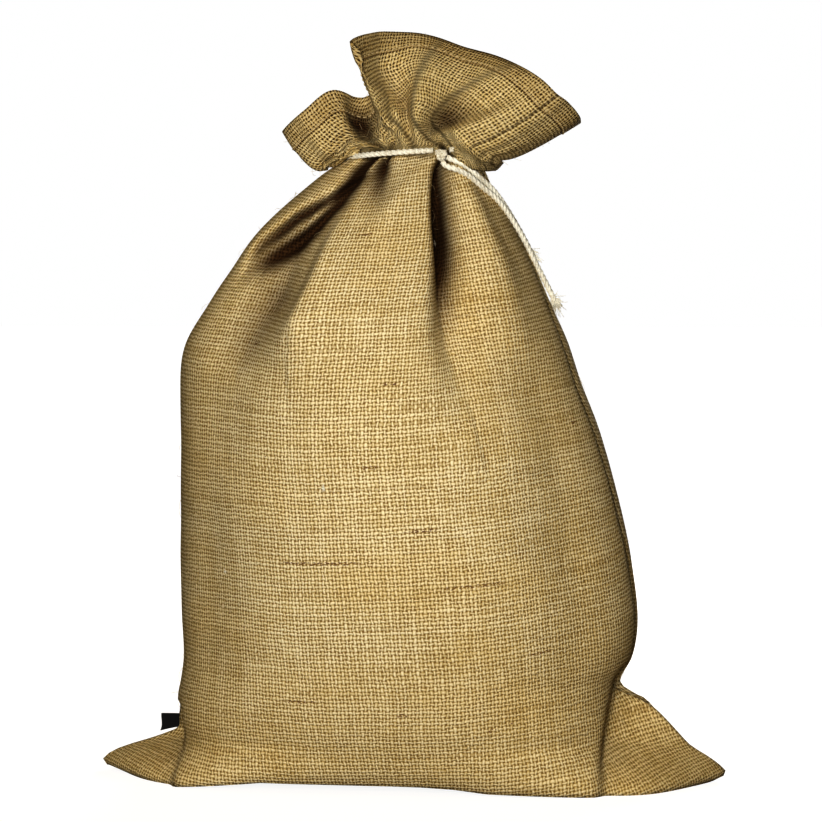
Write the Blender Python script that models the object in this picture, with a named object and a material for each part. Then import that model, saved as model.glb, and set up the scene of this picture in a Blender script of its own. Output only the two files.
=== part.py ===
"""Hessian sack, filled and standing, its neck drawn in with a twisted cotton tie.

One length of jute hessian, folded at the bottom, seamed up both sides and hemmed at the
mouth. Metres, +Z up. The sack stands on the floor at z = 0, its front faces -Y, its right
side seam is at +X, and the origin is under the middle of its bounding box.

A place round the sack is a turn: 0 at the right seam, 0.25 at the middle of the front,
0.5 at the left seam and 0.75 at the middle of the back.
"""

import math

import bmesh
import bpy
import numpy as np

# Driving dimensions
NECK_HEIGHT = 0.404      # floor to the middle of the tie
CLOTH = 0.0020           # wall of the ruffled mouth
HEM = 0.0028             # wall of the doubled hem at the rim
HEM_DEEP = 0.20          # share of the ruffle that the hem takes
FLOOR_OF_MOUTH = 0.34    # share of the ruffle below which the pleats are packed solid
TIE_THICK = 0.0035       # diameter of the cotton tie
GAP = 0.0003             # room between neighbouring pieces
STAND = (0.0020, 0.0008, 0.0)   # from the cloth's own middle to the middle of the box

COLUMNS = 96             # mesh columns round the sack
RUFFLE_RINGS = 9         # mesh rings up the outside of the mouth
MOUTH_RINGS = 5          # mesh rings down its inside

# Level sections of the filled body. left, right, front and back are how far the body
# reaches, the ears are what each bottom corner adds to that, square is the section's
# corner power (2 is an ellipse) and taper is how quickly an ear narrows.
SECTION_NAMES = (
    "height", "left", "right", "front", "back",
    "left_ear", "right_ear", "square", "taper",
)
SECTIONS = (
    (0.0000, 0.129, 0.129, 0.0755, 0.0750, 0.0630, 0.0630, 4.3, 1.5),
    (0.0050, 0.135, 0.133, 0.0775, 0.0770, 0.0690, 0.0670, 3.9, 1.7),
    (0.0125, 0.139, 0.136, 0.0795, 0.0790, 0.0560, 0.0590, 3.4, 2.2),
    (0.0235, 0.145, 0.138, 0.0810, 0.0820, 0.0225, 0.0450, 2.9, 3.2),
    (0.0285, 0.1500, 0.138, 0.0825, 0.0830, 0.0060, 0.0405, 2.8, 3.8),
    (0.0380, 0.1535, 0.138, 0.0850, 0.0850, 0.0010, 0.0320, 2.7, 4.8),
    (0.0510, 0.1535, 0.137, 0.0875, 0.0875, 0.0000, 0.0190, 2.6, 6.5),
    (0.0635, 0.1515, 0.137, 0.0895, 0.0890, 0.0000, 0.0000, 2.5, 8.0),
    (0.0800, 0.1500, 0.1445, 0.0915, 0.0905, 0.0000, 0.0000, 2.45, 8.0),
    (0.1050, 0.1510, 0.1475, 0.0940, 0.0925, 0.0000, 0.0000, 2.4, 8.0),
    (0.1400, 0.1525, 0.1437, 0.0955, 0.0940, 0.0000, 0.0000, 2.35, 8.0),
    (0.1800, 0.1530, 0.1346, 0.0960, 0.0945, 0.0000, 0.0000, 2.3, 8.0),
    (0.2200, 0.1515, 0.1240, 0.0945, 0.0930, 0.0000, 0.0000, 2.3, 8.0),
    (0.2560, 0.1525, 0.1120, 0.0910, 0.0890, 0.0000, 0.0000, 2.25, 8.0),
    (0.2820, 0.1465, 0.1020, 0.0865, 0.0840, 0.0000, 0.0000, 2.2, 8.0),
    (0.3080, 0.1320, 0.0915, 0.0790, 0.0770, 0.0000, 0.0000, 2.2, 8.0),
    (0.3300, 0.1175, 0.0800, 0.0695, 0.0680, 0.0000, 0.0000, 2.2, 8.0),
    (0.3500, 0.1045, 0.0705, 0.0600, 0.0580, 0.0000, 0.0000, 2.2, 8.0),
    (0.3670, 0.0885, 0.0605, 0.0510, 0.0490, 0.0000, 0.0000, 2.2, 8.0),
    (0.3820, 0.0715, 0.0530, 0.0430, 0.0410, 0.0000, 0.0000, 2.2, 8.0),
    (0.3930, 0.0570, 0.0490, 0.0365, 0.0350, 0.0000, 0.0000, 2.2, 8.0),
    (0.4040, 0.0385, 0.0470, 0.0310, 0.0300, 0.0000, 0.0000, 2.2, 8.0),
)

# Folds of the gathered cloth, each a trough that starts at the neck and runs down. turn is
# where it starts and foot where it ends, bend is under 1 if it turns aside near its foot,
# low is the height at which it has faded, fade the share of its length that it fades over,
# deep its depth, and before and after its widths at the foot, to the lower and higher turn.
FOLD_NAMES = ("turn", "foot", "bend", "low", "fade", "deep", "before", "after")
FOLDS = (
    (0.178, 0.158, 1.0, 0.215, 0.80, 0.0170, 0.0380, 0.0110),   # crevice right of the front panel
    (0.292, 0.262, 1.0, 0.362, 0.90, 0.0065, 0.0090, 0.0120),   # short slit in the front panel
    (0.342, 0.425, 0.7, 0.328, 0.30, 0.0090, 0.0100, 0.0070),   # between the two rolls of the shoulder
    (0.312, 0.430, 0.5, 0.312, 0.35, 0.0090, 0.0090, 0.0100),   # below the lower roll
    (0.352, 0.400, 1.0, 0.235, 0.85, 0.0085, 0.0300, 0.0380),   # hollow of the left shoulder
    (0.082, 0.075, 1.0, 0.290, 0.90, 0.0035, 0.0150, 0.0180),
    (0.560, 0.545, 1.0, 0.270, 0.90, 0.0090, 0.0220, 0.0180),
    (0.628, 0.618, 1.0, 0.330, 0.90, 0.0065, 0.0160, 0.0140),
    (0.700, 0.690, 1.0, 0.240, 0.90, 0.0120, 0.0240, 0.0260),
    (0.775, 0.782, 1.0, 0.320, 0.90, 0.0070, 0.0160, 0.0160),
    (0.846, 0.862, 1.0, 0.255, 0.90, 0.0110, 0.0220, 0.0220),
    (0.925, 0.940, 1.0, 0.310, 0.90, 0.0070, 0.0180, 0.0160),
)

# Troughs near the floor: where the body bulges over the ears, and under its front and back.
# turn is the place at the floor, top_turn and top where the trough ends, floor its depth at
# the floor, deep its further depth half way up and wide its width.
FOOT_NAMES = ("turn", "top_turn", "top", "floor", "deep", "wide")
FOOT_TROUGHS = (
    (0.100, 0.022, 0.068, 0.0000, 0.0070, 0.0090),
    (0.400, 0.476, 0.042, 0.0000, 0.0050, 0.0090),
    (0.600, 0.524, 0.042, 0.0000, 0.0050, 0.0090),
    (0.900, 0.978, 0.068, 0.0000, 0.0070, 0.0090),
    (0.260, 0.260, 0.060, 0.0190, 0.0000, 0.0850),
    (0.750, 0.750, 0.060, 0.0120, 0.0000, 0.0900),
)

# Rim of the ruffled mouth. turn is the place at the neck that the cloth rises from, right,
# back and up are the rim's place from the middle of the neck, lift is how far the cloth
# rises before it flares and out the share of its way out that it has made by then.
RIM_NAMES = ("turn", "right", "back", "up", "lift", "out")
RIM = (
    (0.000, 0.104, 0.010, 0.0205, -0.028, 0.12),
    (0.030, 0.105, -0.006, 0.0220, -0.028, 0.12),    # right tip
    (0.090, 0.099, -0.020, 0.0300, -0.008, 0.25),
    (0.150, 0.0905, -0.028, 0.0365, 0.010, 0.35),    # right seam at the rim
    (0.180, 0.081, -0.026, 0.0455, 0.024, 0.25),
    (0.205, 0.068, -0.017, 0.0540, 0.036, 0.02),
    (0.225, 0.052, -0.006, 0.0620, 0.044, -0.10),
    (0.245, 0.033, 0.002, 0.0690, 0.048, -0.10),
    (0.265, 0.012, 0.004, 0.0760, 0.050, -0.05),
    (0.285, -0.006, 0.000, 0.0785, 0.048, 0.05),
    (0.302, -0.021, -0.014, 0.0780, 0.044, 0.25),
    (0.320, -0.037, -0.044, 0.0690, 0.036, 0.55),    # upper left corner
    (0.342, -0.034, -0.026, 0.0540, 0.030, 0.45),
    (0.365, -0.028, -0.006, 0.0420, 0.026, 0.05),    # pocket between the two lobes
    (0.388, -0.038, -0.014, 0.0400, 0.018, 0.20),
    (0.410, -0.051, -0.024, 0.0430, 0.006, 0.30),    # top of the left lobe
    (0.445, -0.072, -0.028, 0.0290, -0.022, 0.35),
    (0.475, -0.087, -0.014, 0.0165, -0.040, 0.35),   # left tip
    (0.520, -0.083, 0.012, 0.0140, -0.020, 0.35),
    (0.570, -0.061, 0.036, 0.0280, 0.014, 0.25),
    (0.620, -0.036, 0.046, 0.0360, 0.026, 0.15),
    (0.665, -0.019, 0.028, 0.0360, 0.030, -0.10),
    (0.710, 0.002, 0.044, 0.0500, 0.036, 0.10),
    (0.770, 0.028, 0.060, 0.0600, 0.034, 0.20),
    (0.825, 0.052, 0.050, 0.0540, 0.032, 0.10),
    (0.865, 0.064, 0.032, 0.0430, 0.028, -0.05),
    (0.910, 0.082, 0.038, 0.0350, 0.014, 0.25),
    (0.960, 0.098, 0.024, 0.0240, -0.010, 0.25),
)

# The knot of the tie and the routes of its two free ends, which lie on the right shoulder:
# right, back and up from the floor
KNOT_PLACE = (0.0215, -0.0305, 0.4025)
KNOT_SIZE = (0.0080, 0.0064, 0.0084)
SHORT_END = (
    (0.0258, -0.0300, 0.4005),
    (0.0300, -0.0288, 0.3987),
    (0.0345, -0.0278, 0.3969),
    (0.0398, -0.0243, 0.3935),
    (0.0460, -0.0208, 0.3881),
    (0.0534, -0.0151, 0.3813),
    (0.0592, -0.0079, 0.3736),
    (0.0645, -0.0022, 0.3650),
    (0.0698, 0.0012, 0.3557),
    (0.0755, 0.0025, 0.3450),
    (0.0780, 0.0027, 0.3400),
)
LONG_END = (
    (0.0230, -0.0308, 0.3976),
    (0.0262, -0.0316, 0.3947),
    (0.0312, -0.0316, 0.3930),
    (0.0362, -0.0291, 0.3909),
    (0.0410, -0.0261, 0.3879),
    (0.0478, -0.0224, 0.3820),
    (0.0566, -0.0157, 0.3745),
    (0.0627, -0.0095, 0.3667),
    (0.0688, -0.0050, 0.3571),
    (0.0745, -0.0028, 0.3469),
    (0.0800, -0.0006, 0.3355),
    (0.0866, 0.0010, 0.3225),
    (0.0932, 0.0015, 0.3095),
)

# Folded label in the left seam
LABEL_OUT = 0.0105       # how far it stands out of the seam
LABEL_SEAT = 0.0007      # room between its sewn edge and the seam
LABEL_THICK = 0.0014     # its two layers
LABEL_LOW = 0.0292       # floor to its lower edge, at the seam
LABEL_TOP = 0.0375       # floor to its upper edge
LABEL_DROP = 0.0032      # how much lower its outer corner hangs

NECK_RIGHT = 0.0045      # middle of the neck, right of the origin
EAR_ROUND = 1.3          # 1 is a sharp ear tip, 2 a round one
RUFFLE_RISE = 0.012      # how far the cloth heads straight up from the tie
NECK_TIGHT = 0.22        # width of a fold at the neck, as a share of its width at its foot
PINCH = 0.55             # share of the folds' depth that is left under the tie
PINCH_TALL = 0.020       # how far below the tie the pinch begins
RIM_WEIGHT = 0.45        # share of the column spacing that follows the rim
RING_STEP = 0.014        # about how far apart the body's mesh rings are
NECK_BAND = 0.006        # upright band of cloth under the tie
KNOT_TURN = 0.176        # where the tie is knotted
KNOT_SHARE = 0.021       # share of the turn that the knot takes on each side
KNOT_RIDGE = 0.08        # how far the knot's turns stand out, as a share of its size
KNOT_WINDS = 3.0         # turns of cord that show in the knot
KNOT_SIDES = 16          # mesh sides round the knot
KNOT_RINGS = 10          # mesh rings over the knot
TIE_POINTS = 64          # points along the cord round the neck
SHORT_POINTS = 18
LONG_POINTS = 24
LABEL_STEPS = 6          # sides of the label's fold
ARC_STEPS = 721          # points that half a section is measured with
RIM_STEPS = 201          # points that half the rim is measured with
SHARP_DEG = 60.0         # edges sharper than this are shaded as edges
TURN = 2.0 * math.pi


def column(names, rows, name):
    """One named column of a table."""
    return np.array([row[names.index(name)] for row in rows])


def slopes(at, values):
    """Slopes at a table's rows that never overshoot between them."""
    steps = np.diff(values) / np.diff(at)
    inner = np.where(steps[:-1] * steps[1:] > 0, 0.5 * (steps[:-1] + steps[1:]), 0.0)
    limit = 3.0 * np.minimum(np.abs(steps[:-1]), np.abs(steps[1:]))
    inner = np.clip(inner, -limit, limit)
    return np.concatenate(([steps[0]], inner, [steps[-1]]))


def smooth(at, values, where):
    """Value of a table's column between its rows, on a smooth curve through them."""
    row = int(np.clip(np.searchsorted(at, where) - 1, 0, len(at) - 2))
    span = at[row + 1] - at[row]
    t = min(max((where - at[row]) / span, 0.0), 1.0)
    slope = slopes(at, values)
    rise = (2 * t - 3) * t * t + 1
    return (
        rise * values[row]
        + (1 - rise) * values[row + 1]
        + span * t * (t - 1) * ((t - 1) * slope[row] + t * slope[row + 1])
    )


def distances(points):
    """How far along a line of points each of them lies."""
    steps = np.linalg.norm(np.diff(points, axis=0), axis=1)
    return np.concatenate(([0.0], np.cumsum(steps)))


def section_at(height):
    """The body's section at a height, as a dictionary of the table's columns."""
    at = column(SECTION_NAMES, SECTIONS, "height")
    size = {}
    for name in SECTION_NAMES:
        size[name] = smooth(at, column(SECTION_NAMES, SECTIONS, name), height)
    return size


def section_ring(height, turns, grow=0.0):
    """Points round the body at a height, at the given turns. grow moves them outwards."""
    size = section_at(height)
    power = 2.0 / size["square"]
    middle = 0.5 * (size["right"] - size["left"])
    half = 0.5 * (size["right"] + size["left"]) + grow
    sides = []
    for start, reach in ((0.0, -size["front"] - grow), (math.pi, size["back"] + grow)):
        angle = np.linspace(start, start + math.pi, ARC_STEPS)
        across = np.cos(angle)
        outwards = np.abs(np.sin(angle)) ** power
        ear = np.where(across > 0, size["right_ear"], size["left_ear"])
        ear = ear * np.exp(-((outwards * size["taper"]) ** EAR_ROUND))
        x = middle + np.sign(across) * (half * np.abs(across) ** power + ear)
        y = reach * outwards
        walked = distances(np.column_stack((x, y)))
        share = walked / walked[-1]
        half_turns = [2.0 * turn - start / math.pi for turn in turns]
        mine = [place for place in half_turns if 0.0 <= place < 1.0]
        sides.append(np.column_stack((np.interp(mine, share, x), np.interp(mine, share, y))))
    ring = np.concatenate(sides)
    return np.column_stack((ring, np.full(len(ring), height)))


def outward(ring):
    """Level directions that point away from the inside at each point of a ring."""
    along = np.roll(ring, -1, axis=0) - np.roll(ring, 1, axis=0)
    normal = np.column_stack((-along[:, 1], along[:, 0], np.zeros(len(ring))))
    normal /= np.linalg.norm(normal, axis=1)[:, None]
    facing = np.sum(normal[:, :2] * (ring[:, :2] - ring[:, :2].mean(axis=0)))
    return normal if facing > 0 else -normal


def trough(turns, place, length, before, after):
    """Depth, from 0 to 1, of a trough round a ring of this length."""
    away = (np.array(turns) - place + 0.5) % 1.0 - 0.5
    width = np.where(away < 0.0, before, after)
    return np.exp(-((away * length / width) ** 2))


def fold_depth(turns, height, length):
    """How far the folds draw the cloth in round a ring of this length at this height."""
    depth = np.zeros(len(turns))
    for turn, foot, bend, low, fade, deep, before, after in FOLDS:
        share = min((height - low) / (NECK_HEIGHT - low), 1.0)
        if share > 0.0:
            full = min(share / fade, 1.0)
            place = foot + (turn - foot) * share**bend
            fan = 1.0 - (1.0 - NECK_TIGHT) * share
            drawn = deep * full * full * (3.0 - 2.0 * full)
            depth += drawn * trough(turns, place, length, fan * before, fan * after)
    for turn, top_turn, top, floor, deep, wide in FOOT_TROUGHS:
        share = height / top
        if share < 1.0:
            place = turn + (top_turn - turn) * share**2
            drawn = floor * (1.0 - share) ** 2 + deep * math.sin(math.pi * share)
            depth += drawn * trough(turns, place, length, wide, wide)
    return depth


def body_ring(height, turns):
    """Points round the body at a height, with its folds."""
    ring = section_ring(height, turns)
    length = np.linalg.norm(np.roll(ring, -1, axis=0) - ring, axis=1).sum()
    pinch_at = np.array([0.0, NECK_HEIGHT - PINCH_TALL, NECK_HEIGHT])
    pinch = smooth(pinch_at, np.array([1.0, 1.0, PINCH]), height)
    depth = pinch * fold_depth(turns, height, length)
    return ring - outward(ring) * depth[:, None]


def rim_at(turn):
    """The rim's row at a turn, on a smooth closed curve through the table."""
    rows = [(row[0] - 1.0,) + row[1:] for row in RIM[-2:]]
    rows += list(RIM)
    rows += [(row[0] + 1.0,) + row[1:] for row in RIM[:2]]
    at = column(RIM_NAMES, rows, "turn")
    return {name: smooth(at, column(RIM_NAMES, rows, name), turn) for name in RIM_NAMES}


def ruffle_ring(neck, turns, share):
    """Points round the mouth, at a share of its way from the tie to the rim."""
    ring = []
    for start, turn in zip(neck, turns):
        row = rim_at(turn)
        end = np.array([NECK_RIGHT + row["right"], row["back"], NECK_HEIGHT + row["up"]])
        rise = start + (0.0, 0.0, RUFFLE_RISE)
        bend = start + row["out"] * (end - start)
        bend[2] = start[2] + row["lift"]
        left = 1.0 - share
        place = left**3 * start + 3.0 * left * left * share * rise
        ring.append(place + 3.0 * left * share * share * bend + share**3 * end)
    return np.array(ring)


def even_turns():
    """Turns of the mesh columns, half of them to a side, closer where the rim is long."""
    turns = []
    for start in (0.0, 0.5):
        at = np.linspace(start, start + 0.5, RIM_STEPS)
        rim = [rim_at(turn) for turn in at]
        rim = np.array([(row["right"], row["back"], row["up"]) for row in rim])
        walked = distances(rim)
        weight = RIM_WEIGHT * walked / walked[-1] + (1.0 - RIM_WEIGHT) * (at - start) / 0.5
        even = np.linspace(0.0, 1.0, COLUMNS // 2 + 1)[:-1]
        turns += list(np.interp(even, weight, at))
    return turns


def ring_heights():
    """Heights of the body's mesh rings: the table's own, and more where they lie far apart."""
    at = column(SECTION_NAMES, SECTIONS, "height")
    heights = []
    for low, high in zip(at[:-1], at[1:]):
        parts = max(1, round((high - low) / RING_STEP))
        heights += [low + (high - low) * part / parts for part in range(parts)]
    return heights + [at[-1]]


def loft(name, rings):
    """A closed skin through rings of points: each ring is extruded from the one before."""
    mesh = bpy.data.meshes.new(name)
    bm = bmesh.new()
    count = len(rings[0])
    verts = bmesh.ops.create_circle(bm, cap_ends=True, radius=1.0, segments=count)["verts"]
    for vert, place in zip(verts, rings[0]):
        vert.co = place
    for ring in rings[1:]:
        edges = [bm.edges.get((verts[i], verts[(i + 1) % count])) for i in range(count)]
        made = bmesh.ops.extrude_edge_only(bm, edges=edges)["geom"]
        fresh = {item for item in made if isinstance(item, bmesh.types.BMVert)}
        risen = []
        for vert, place in zip(verts, ring):
            above = next(e.other_vert(vert) for e in vert.link_edges if e.other_vert(vert) in fresh)
            above.co = place
            risen.append(above)
        verts = risen
    edges = [bm.edges.get((verts[i], verts[(i + 1) % count])) for i in range(count)]
    bmesh.ops.contextual_create(bm, geom=edges)
    bmesh.ops.recalc_face_normals(bm, faces=bm.faces)
    bm.to_mesh(mesh)
    bm.free()
    mesh.shade_smooth()
    mesh.set_sharp_from_angle(angle=math.radians(SHARP_DEG))
    thing = bpy.data.objects.new(name, mesh)
    bpy.context.scene.collection.objects.link(thing)
    return thing


def inner_skin(rings):
    """Rings down the inside of the mouth, from the rim to the packed pleats."""
    inner = []
    for share in np.linspace(1.0, FLOOR_OF_MOUTH, MOUTH_RINGS):
        place = share * RUFFLE_RINGS
        low = min(int(place), RUFFLE_RINGS - 1)
        mix = place - low
        base = len(rings) - 1 - RUFFLE_RINGS
        here = (1.0 - mix) * rings[base + low] + mix * rings[base + low + 1]
        up = rings[base + low + 1] - rings[base + low]
        along = np.roll(here, -1, axis=0) - np.roll(here, 1, axis=0)
        inwards = np.cross(along, up)
        inwards /= np.linalg.norm(inwards, axis=1)[:, None]
        middle = here.mean(axis=0)
        if np.sum(inwards[:, :2] * (middle - here)[:, :2]) < 0:
            inwards = -inwards
        wall = HEM if share > 1.0 - HEM_DEEP else CLOTH
        inner.append(here + inwards * wall)
    return inner


def sack_rings(turns):
    """Every ring of the cloth: up the body and the ruffle, over the rim and down inside."""
    rings = [body_ring(height, turns) for height in ring_heights()]
    neck = rings[-1]
    rings[-1] = neck - (0.0, 0.0, NECK_BAND / 2.0)
    neck = neck + (0.0, 0.0, NECK_BAND / 2.0)
    rings += [ruffle_ring(neck, turns, ring / RUFFLE_RINGS) for ring in range(RUFFLE_RINGS + 1)]
    return rings + inner_skin(rings)


def material(name, colour, roughness):
    """A plain finish."""
    made = bpy.data.materials.new(name)
    made.use_nodes = True
    shader = made.node_tree.nodes["Principled BSDF"]
    shader.inputs["Base Color"].default_value = (*colour, 1.0)
    shader.inputs["Roughness"].default_value = roughness
    shader.inputs["Metallic"].default_value = 0.0
    return made


def make_sack():
    """The filled cloth: one closed skin."""
    sack = loft("sack", sack_rings(even_turns()))
    sack.data.materials.append(material("jute_hessian", (0.45, 0.32, 0.16), 0.95))
    return sack


def cord(name, route, points):
    """A round cord along a smooth curve through its route's own points."""
    route = np.array(route)
    walked = distances(route)
    at = np.linspace(0.0, walked[-1], points)
    curve = bpy.data.curves.new(name, "CURVE")
    curve.dimensions = "3D"
    curve.bevel_depth = TIE_THICK / 2.0
    curve.bevel_resolution = 2
    curve.use_fill_caps = True
    spline = curve.splines.new("POLY")
    spline.points.add(points - 1)
    for point, where in zip(spline.points, at):
        place = [smooth(walked, route[:, axis], where) for axis in range(3)]
        point.co = (*place, 1.0)
    thing = bpy.data.objects.new(name, curve)
    bpy.context.scene.collection.objects.link(thing)
    return thing


def lump(name, place, size):
    """A rounded lump of overlapping turns of cord."""
    mesh = bpy.data.meshes.new(name)
    bm = bmesh.new()
    verts = bmesh.ops.create_uvsphere(
        bm, u_segments=KNOT_SIDES, v_segments=KNOT_RINGS, radius=0.5
    )["verts"]
    for vert in verts:
        wound = 1.0 + KNOT_RIDGE * math.cos(KNOT_WINDS * math.atan2(vert.co.z, vert.co.x))
        vert.co.x *= size[0] * wound
        vert.co.y *= size[1]
        vert.co.z *= size[2] * wound
    bmesh.ops.translate(bm, verts=verts, vec=place)
    bm.to_mesh(mesh)
    bm.free()
    mesh.shade_smooth()
    thing = bpy.data.objects.new(name, mesh)
    bpy.context.scene.collection.objects.link(thing)
    return thing


def make_tie():
    """The cord round the neck, its knot and its two free ends."""
    cotton = material("cotton_cord", (0.86, 0.83, 0.76), 0.9)
    clear = TIE_THICK / 2.0 + GAP
    first = KNOT_TURN + KNOT_SHARE
    turns = np.linspace(first, first + 1.0 - 2.0 * KNOT_SHARE, TIE_POINTS + 1) % 1.0
    order = sorted(turns)
    ring = section_ring(NECK_HEIGHT, order, clear)
    route = [ring[order.index(turn)] for turn in turns]
    loop = cord("neck_tie", route, TIE_POINTS)
    short_end = cord("tie_end_short", SHORT_END, SHORT_POINTS)
    long_end = cord("tie_end_long", LONG_END, LONG_POINTS)
    knot = lump("tie_knot", KNOT_PLACE, KNOT_SIZE)
    for thing in (loop, short_end, long_end, knot):
        thing.data.materials.append(cotton)


def make_label():
    """A folded tab that stands out of the left seam, its fold outermost."""
    half = LABEL_THICK / 2.0
    rows = []
    for height, drop in ((LABEL_TOP, 0.0), (LABEL_LOW, LABEL_DROP)):
        size = section_at(height)
        seam = -(size["left"] + size["left_ear"]) - LABEL_SEAT
        outline = [(seam, half, height), (seam, -half, height)]
        for step in range(LABEL_STEPS + 1):
            angle = math.pi * (0.5 + step / LABEL_STEPS)
            x = seam - LABEL_OUT + half * (1.0 + math.cos(angle))
            outline.append((x, -half * math.sin(angle), height - drop))
        rows.append(outline)
    label = loft("label", rows)
    label.data.materials.append(material("black_tape", (0.012, 0.012, 0.014), 0.7))


for old in list(bpy.data.objects):
    bpy.data.objects.remove(old, do_unlink=True)
make_sack()
make_tie()
make_label()
for piece in bpy.data.objects:
    piece.location = STAND
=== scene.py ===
import math
import bmesh
import bpy
import numpy as np
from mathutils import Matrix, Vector, noise


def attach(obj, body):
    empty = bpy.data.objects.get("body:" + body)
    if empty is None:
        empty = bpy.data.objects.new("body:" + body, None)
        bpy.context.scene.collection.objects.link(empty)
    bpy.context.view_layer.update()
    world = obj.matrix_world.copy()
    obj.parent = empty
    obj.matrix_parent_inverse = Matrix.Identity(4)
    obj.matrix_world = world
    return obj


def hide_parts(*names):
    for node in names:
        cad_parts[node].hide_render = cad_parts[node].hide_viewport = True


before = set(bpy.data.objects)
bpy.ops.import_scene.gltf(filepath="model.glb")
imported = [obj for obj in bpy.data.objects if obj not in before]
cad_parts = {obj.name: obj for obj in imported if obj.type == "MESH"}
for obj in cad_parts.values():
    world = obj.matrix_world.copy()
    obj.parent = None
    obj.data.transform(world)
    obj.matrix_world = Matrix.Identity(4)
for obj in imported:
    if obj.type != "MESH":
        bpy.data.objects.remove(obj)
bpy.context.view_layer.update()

scene = bpy.context.scene
stand = np.array((0.0020, 0.0008, 0.0))      # the sack's own middle, in the frame

cameraSetup = {
    "aim": (0.0020, 0.0008, 0.238),
    "azimuth": 6.0,
    "elevation": 2.5,
    "distance": 1.6,
    "lens": 107.8,
}


def addCamera(values):
    turned, raised = math.radians(values["azimuth"]), math.radians(values["elevation"])
    level = math.cos(raised)
    back = Vector((math.sin(turned) * level, -math.cos(turned) * level, math.sin(raised)))
    data = bpy.data.cameras.new("camera")
    data.lens = values["lens"]
    data.clip_start = 0.05
    camera = bpy.data.objects.new("camera", data)
    camera.location = Vector(values["aim"]) + back * values["distance"]
    camera.rotation_euler = back.to_track_quat("Z", "Y").to_euler()
    scene.collection.objects.link(camera)
    scene.camera = camera


addCamera(cameraSetup)
print("camera set")


def thousandths(rows, plain=()):
    # tables are written in millimetres and thousandths of a turn, apart from the plain columns
    table = np.array(rows, float)
    table[:, [column for column in range(table.shape[1]) if column not in plain]] /= 1000.0
    return table


def slopesOf(at, values):
    steps = np.diff(values) / np.diff(at)
    inner = np.where(steps[:-1] * steps[1:] > 0, 0.5 * (steps[:-1] + steps[1:]), 0.0)
    limit = 3.0 * np.minimum(np.abs(steps[:-1]), np.abs(steps[1:]))
    return np.concatenate(([steps[0]], np.clip(inner, -limit, limit), [steps[-1]]))


def smoothAt(at, values, where):
    # a smooth curve through the given values, never past them
    at, values, where = (np.asarray(part, float) for part in (at, values, where))
    row = np.clip(np.searchsorted(at, where) - 1, 0, len(at) - 2)
    span = at[row + 1] - at[row]
    t = np.clip((where - at[row]) / span, 0.0, 1.0)
    slope = slopesOf(at, values)
    rise = (2 * t - 3) * t * t + 1
    hold = rise * values[row] + (1 - rise) * values[row + 1]
    return hold + span * t * (t - 1) * ((t - 1) * slope[row] + t * slope[row + 1])


def columnsAt(table, where):
    # every column of a table, read smoothly by its first one
    return [smoothAt(table[:, 0], column, where) for column in table.T]


def distancesOf(points):
    steps = np.linalg.norm(np.diff(points, axis=0), axis=-1)
    return np.concatenate((np.zeros_like(steps[:1]), np.cumsum(steps, axis=0)))


def pointsAt(where, walked, line):
    return np.column_stack([np.interp(where, walked, line[:, axis]) for axis in range(3)])


def unit(vectors):
    return vectors / np.maximum(np.linalg.norm(vectors, axis=-1, keepdims=True), 1e-9)


def evenPath(points, count):
    # evenly spaced points on a smooth curve through the given ones
    walked = distancesOf(points)
    fine = np.linspace(0.0, walked[-1], 40 * count)
    line = np.column_stack([smoothAt(walked, points[:, axis], fine) for axis in range(3)])
    length = distancesOf(line)
    return pointsAt(np.linspace(0.0, length[-1], count), length, line)


def layGrid(bm, rows, layers=None, doubles=0.0):
    # a grid laid over rows of points, with its maps; doubles closes its seam and its poles
    rows = np.asarray(rows, float)
    up, across = rows.shape[0] - 1, rows.shape[1] - 1
    made = bmesh.ops.create_grid(bm, x_segments=across, y_segments=up, size=0.5)["verts"]
    spots = {}
    for vert in made:
        spots[vert] = (round((vert.co.y + 0.5) * up), round((vert.co.x + 0.5) * across))
        vert.co = rows[spots[vert]]
    faces = {face for vert in made for face in vert.link_faces}
    for name, values in (layers or {}).items():
        layer = bm.loops.layers.uv.new(name)
        for face in faces:
            for loop in face.loops:
                loop[layer].uv = values[spots[loop.vert]]
    if doubles:
        bmesh.ops.remove_doubles(bm, verts=made, dist=doubles)


def layTube(bm, path, radii, around, lobes=1, pitch=0.01):
    # rings along a path, closed to a point at both ends; with lobes they are twisted strands
    path = np.asarray(path, float)
    radii = np.broadcast_to(np.asarray(radii, float), len(path))
    ahead = unit(np.gradient(path, axis=0))
    side = np.cross(ahead[0], (0.31, 0.22, 0.93))       # any way square to the path will do
    walked = distancesOf(path)
    angle = np.linspace(0.0, 2.0 * math.pi, around + 1)
    ends = [np.repeat([path[at]], around + 1, axis=0) for at in (0, -1)]
    out, thick = 0.50, 0.58                             # a strand's middle and radius, as shares
    rings = [ends[0]]
    for index, point in enumerate(path):
        side = unit(side - ahead[index] * np.dot(side, ahead[index]))
        other = np.cross(ahead[index], side)
        reach = np.ones(len(angle))
        if lobes > 1:
            turned = angle - 2.0 * math.pi * walked[index] / pitch
            bend = (turned + math.pi / lobes) % (2.0 * math.pi / lobes) - math.pi / lobes
            reach = out * np.cos(bend) + np.sqrt(np.maximum(thick**2 - (out * np.sin(bend)) ** 2, 0.0))
        reach = reach * radii[index]
        rings.append(point + np.outer(reach * np.cos(angle), side) + np.outer(reach * np.sin(angle), other))
    layGrid(bm, rings + [ends[1]], doubles=1e-6)


def finishMesh(name, bm):
    mesh = bpy.data.meshes.new(name)
    bm.to_mesh(mesh)
    bm.free()
    mesh.shade_smooth()
    thing = bpy.data.objects.new(name, mesh)
    scene.collection.objects.link(thing)
    return thing


def finishPiece(name, bm, material, node=None):
    bmesh.ops.recalc_face_normals(bm, faces=bm.faces)
    piece = finishMesh(name, bm)
    piece.data.materials.append(material)
    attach(piece, "root")
    if node:
        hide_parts(node)
    return piece


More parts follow.
